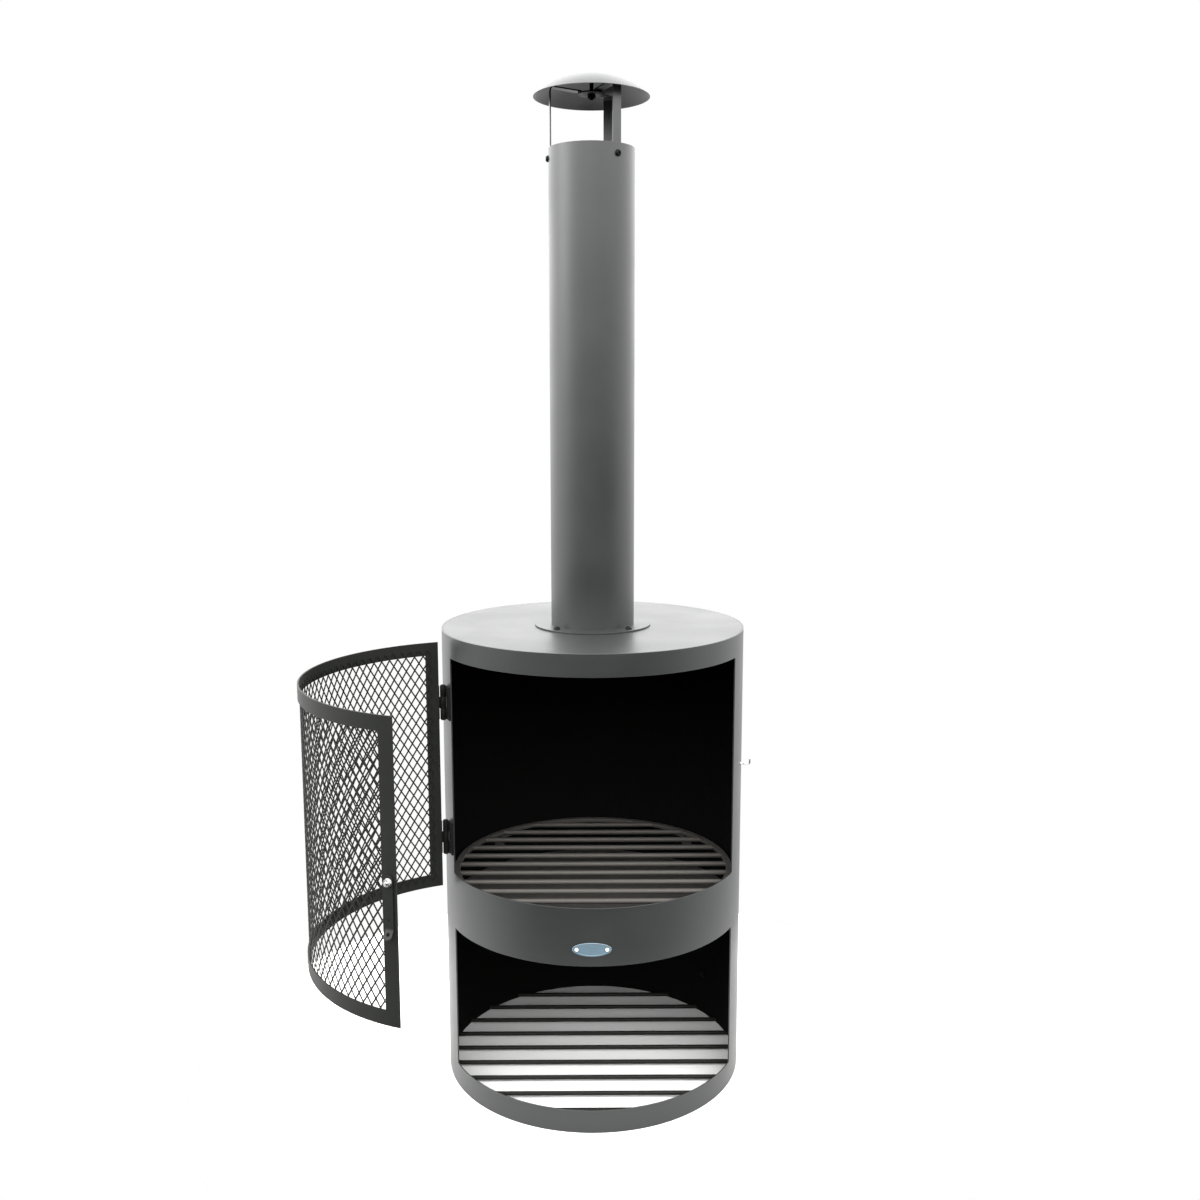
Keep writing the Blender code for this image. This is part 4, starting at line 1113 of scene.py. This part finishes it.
class STOVE_OT_latch(bpy.types.Operator):
    """Make the latch strip, its pivot bolt, washer and nut, and the peg on the drum"""

    bl_idname = "stove.latch"
    bl_label = "Latch"

    def execute(self, context):
        place = SWING @ outward(DOOR_R + SHEET, LATCH_AZIMUTH, LATCH_Z)
        finishes = ["door_powder_coat", "bright_zinc"]
        piece("latch_arm", self.strip(), finishes, "latch_strip", "latch", place, FINE_EDGE)
        mesh = turned("latch_pivot_bolt", self.pivot_profile(), SCREW_STEPS)
        piece("latch_pivot_bolt", mesh, ["bright_zinc"], "latch_bolt", "door", place, 0.0)
        finer("latch_pivot_washer", "latch_washer", "bright_zinc", "door", FINE_EDGE)
        finer("latch_pivot_hex", "latch_nut", "bright_zinc", "door", BROAD_EDGE)
        self.peg()
        return {"FINISHED"}

    def strip(self):
        """The strip hangs along -Y, outer face up, with a hooked notch and a bent round tab."""
        half = LATCH_WIDTH / 2
        slot = LATCH_NOTCH_WIDTH / 2
        lead = LATCH_NOTCH_LEAD
        notch_top, notch_foot = slot - LATCH_NOTCH_AT, -slot - LATCH_NOTCH_AT
        outline = arc(half, range(0, 181, 15), (0.0, LATCH_HEAD - half))
        outline += [(-half, notch_top + lead), (lead - half, notch_top)]
        outline += arc(slot, range(90, -91, -18), (LATCH_NOTCH_END - slot, -LATCH_NOTCH_AT))
        outline += [(lead - half, notch_foot), (-half, notch_foot - lead)]
        outline += arc(half, range(180, 361, 15), (0.0, half - LATCH_STRAIGHT - LATCH_TAB))
        bolt_hole = circle(BOLT_R + 0.0001, 24)
        tab_hole = circle(LATCH_TAB_HOLE_R, 20, (0.0, -LATCH_STRAIGHT - LATCH_TAB / 2))
        work = bmesh.new()
        work.from_mesh(flat("latch_arm", [outline, bolt_hole, tab_hole], GAP, GAP + LATCH_T))
        self.bend_tab(work)
        mesh = finished(work, "latch_arm")
        paint(mesh, 1, lambda face: face.center.y < -LATCH_STRAIGHT - LATCH_BEND / 2)
        return mesh

    def bend_tab(self, work):
        """Bends the strip's lower end outwards, evenly over a short length."""
        start = LATCH_BEND - LATCH_STRAIGHT
        slope = math.radians(LATCH_TAB_SLOPE)
        radius = 2 * LATCH_BEND / slope
        for step in range(LATCH_BEND_STEPS + 1):
            line = (0.0, start - 2 * LATCH_BEND * step / LATCH_BEND_STEPS, 0.0)
            parts = [*work.verts, *work.edges, *work.faces]
            bmesh.ops.bisect_plane(work, geom=parts, plane_co=line, plane_no=(0.0, 1.0, 0.0))
        for vert in work.verts:
            past = start - vert.co.y
            if past > 0.0:
                turn = min(slope, past / radius)
                sine, cosine = math.sin(turn), math.cos(turn)
                rest = max(0.0, past - 2 * LATCH_BEND)
                height = vert.co.z - GAP
                vert.co.y = start - radius * sine - rest * cosine + height * sine
                vert.co.z = GAP + radius * (1 - cosine) + rest * sine + height * cosine

    def pivot_profile(self):
        """The pivot bolt: a thin head inside the door, and a tip that stands out of the nut."""
        tip = 3 * GAP + LATCH_T + LATCH_WASHER_T + LATCH_NUT_T + LATCH_BOLT_TIP
        full = tip - 0.0004
        profile = [(0.0, tip), (BOLT_R - 0.0006, tip), (BOLT_R, full)]
        profile += thread(STUD_ROOT, full - THREAD_PITCH / 2, LATCH_THREAD_FOOT)
        seat = -SHEET - GAP
        profile += [(BOLT_R, profile[-1][1] - THREAD_PITCH / 2), (BOLT_R, seat)]
        return profile + [(radius, seat - depth) for radius, depth in LATCH_BOLT_HEAD]

    def peg(self):
        """A bent wire peg, welded to the drum where the level strip's notch reaches."""
        reach = DOOR_R + SHEET + GAP + LATCH_T / 2
        azimuth = LATCH_AZIMUTH + math.degrees(math.atan2(LATCH_NOTCH_AT, reach))
        bend = 2 * PEG_WIRE_R
        path = [(0.0, DRUM_R + GAP), *arc(bend, range(180, 89, -10), (bend, PEG_REACH_R - bend))]
        path.append((PEG_TIP, PEG_REACH_R))
        work = bmesh.new()
        rod(work, [(0.0, up, out) for up, out in path], PEG_WIRE_R, 14)
        weld_spot(work, (0.0, 0.0, DRUM_R + PEG_WELD_OUT), PEG_WELD_R)
        mesh = finished(work, "latch_hook_peg")
        place = AT_AXIS @ outward(0.0, azimuth, LATCH_Z)
        piece("latch_hook_peg", mesh, ["bright_zinc"], "latch_peg", place=place, edge=0.0)


class STOVE_OT_nameplate(bpy.types.Operator):
    """Make the blank oval nameplate and its two rivets"""

    bl_idname = "stove.nameplate"
    bl_label = "Nameplate"

    def execute(self, context):
        piece("oval_plate", self.oval(), ["blue_plate"], "name_plate", edge=0.0)
        head_r, head_t = RIVET_HEAD
        shank_r, shank_to = RIVET_SHANK
        profile = [(0.0, head_t)]
        profile += [(head_r * out, head_t * up) for up, out in arc(1.0, range(20, 81, 20))]
        profile += [(head_r, 0.0), (shank_r, 0.0), (shank_r, shank_to), (0.0, shank_to)]
        for number, side in enumerate((-1, 1), 1):
            azimuth = PLATE_AZIMUTH + side * math.degrees(RIVET_SPREAD / DRUM_R)
            seat = AT_AXIS @ outward(DRUM_R + PLATE_T + 2 * GAP, azimuth, PLATE_Z)
            name = f"plate_rivet_head_{number}"
            mesh = turned(name, profile, 24)
            piece(name, mesh, ["pale_rivet"], f"plate_rivet_{number}", place=seat, edge=0.0)
        return {"FINISHED"}

    def oval(self):
        """A stamped oval that follows the drum, with a raised rim round a flat field."""
        width, height = PLATE_SIZE
        work = bmesh.new()
        rings = []
        for share, level in PLATE_SECTION:
            ring = []
            for x, y in circle(share, 96):
                azimuth = PLATE_AZIMUTH + math.degrees(x * width / 2 / DRUM_R)
                corner = around(DRUM_R + GAP + PLATE_T * level, azimuth, PLATE_Z + y * height / 2)
                ring.append(work.verts.new(corner))
            rings.append(ring)
        join_rings(work, rings)
        return finished(work, "oval_plate")


class STOVE_OT_wall_bolt(bpy.types.Operator):
    """Make the bolt and nut low on the drum's wall"""

    bl_idname = "stove.wall_bolt"
    bl_label = "Wall bolt"

    def execute(self, context):
        seat = AT_AXIS @ outward(DRUM_R + GAP, WALL_BOLT_AZIMUTH, WALL_BOLT_Z)
        screw("wall_screw", "wall_bolt", WALL_SCREW, seat, ["blacked_steel", "bright_zinc"])
        finer("wall_hex", "wall_nut")
        return {"FINISHED"}


class STOVE_PT_panel(bpy.types.Panel):
    """Lists the stove's pieces and settings"""

    bl_idname = "STOVE_PT_panel"
    bl_label = "Wood Burning Stove"
    bl_space_type = "VIEW_3D"
    bl_region_type = "UI"
    bl_category = "Stove"

    def draw(self, context):
        layout = self.layout
        for operator in OPERATORS:
            layout.operator(operator.bl_idname)
        for name in SETTINGS:
            group = getattr(context.scene, name)
            box = layout.box()
            for key in group.__annotations__:
                box.prop(group, key)


OPERATORS = (
    STOVE_OT_stage,
    STOVE_OT_drum,
    STOVE_OT_log_rests,
    STOVE_OT_fire_grate,
    STOVE_OT_chimney,
    STOVE_OT_rain_cap,
    STOVE_OT_door,
    STOVE_OT_hinges,
    STOVE_OT_latch,
    STOVE_OT_nameplate,
    STOVE_OT_wall_bolt,
)
SETTINGS = {
    "stove_finish": FinishSettings,
    "stove_drum": DrumSettings,
    "stove_door": DoorSettings,
    "stove_stage": StageSettings,
}


def register():
    """Adds the settings, the operators and the panel."""
    for name, group in SETTINGS.items():
        bpy.utils.register_class(group)
        setattr(bpy.types.Scene, name, bpy.props.PointerProperty(type=group))
    for operator in OPERATORS:
        bpy.utils.register_class(operator)
    bpy.utils.register_class(STOVE_PT_panel)


def unregister():
    """Takes the panel, the operators and the settings away."""
    bpy.utils.unregister_class(STOVE_PT_panel)
    for operator in reversed(OPERATORS):
        bpy.utils.unregister_class(operator)
    for name, group in SETTINGS.items():
        delattr(bpy.types.Scene, name)
        bpy.utils.unregister_class(group)


def main():
    """Builds everything."""
    register()
    for operator in OPERATORS:
        getattr(bpy.ops.stove, operator.bl_idname.split(".")[1])()


if __name__ == "__main__":
    main()
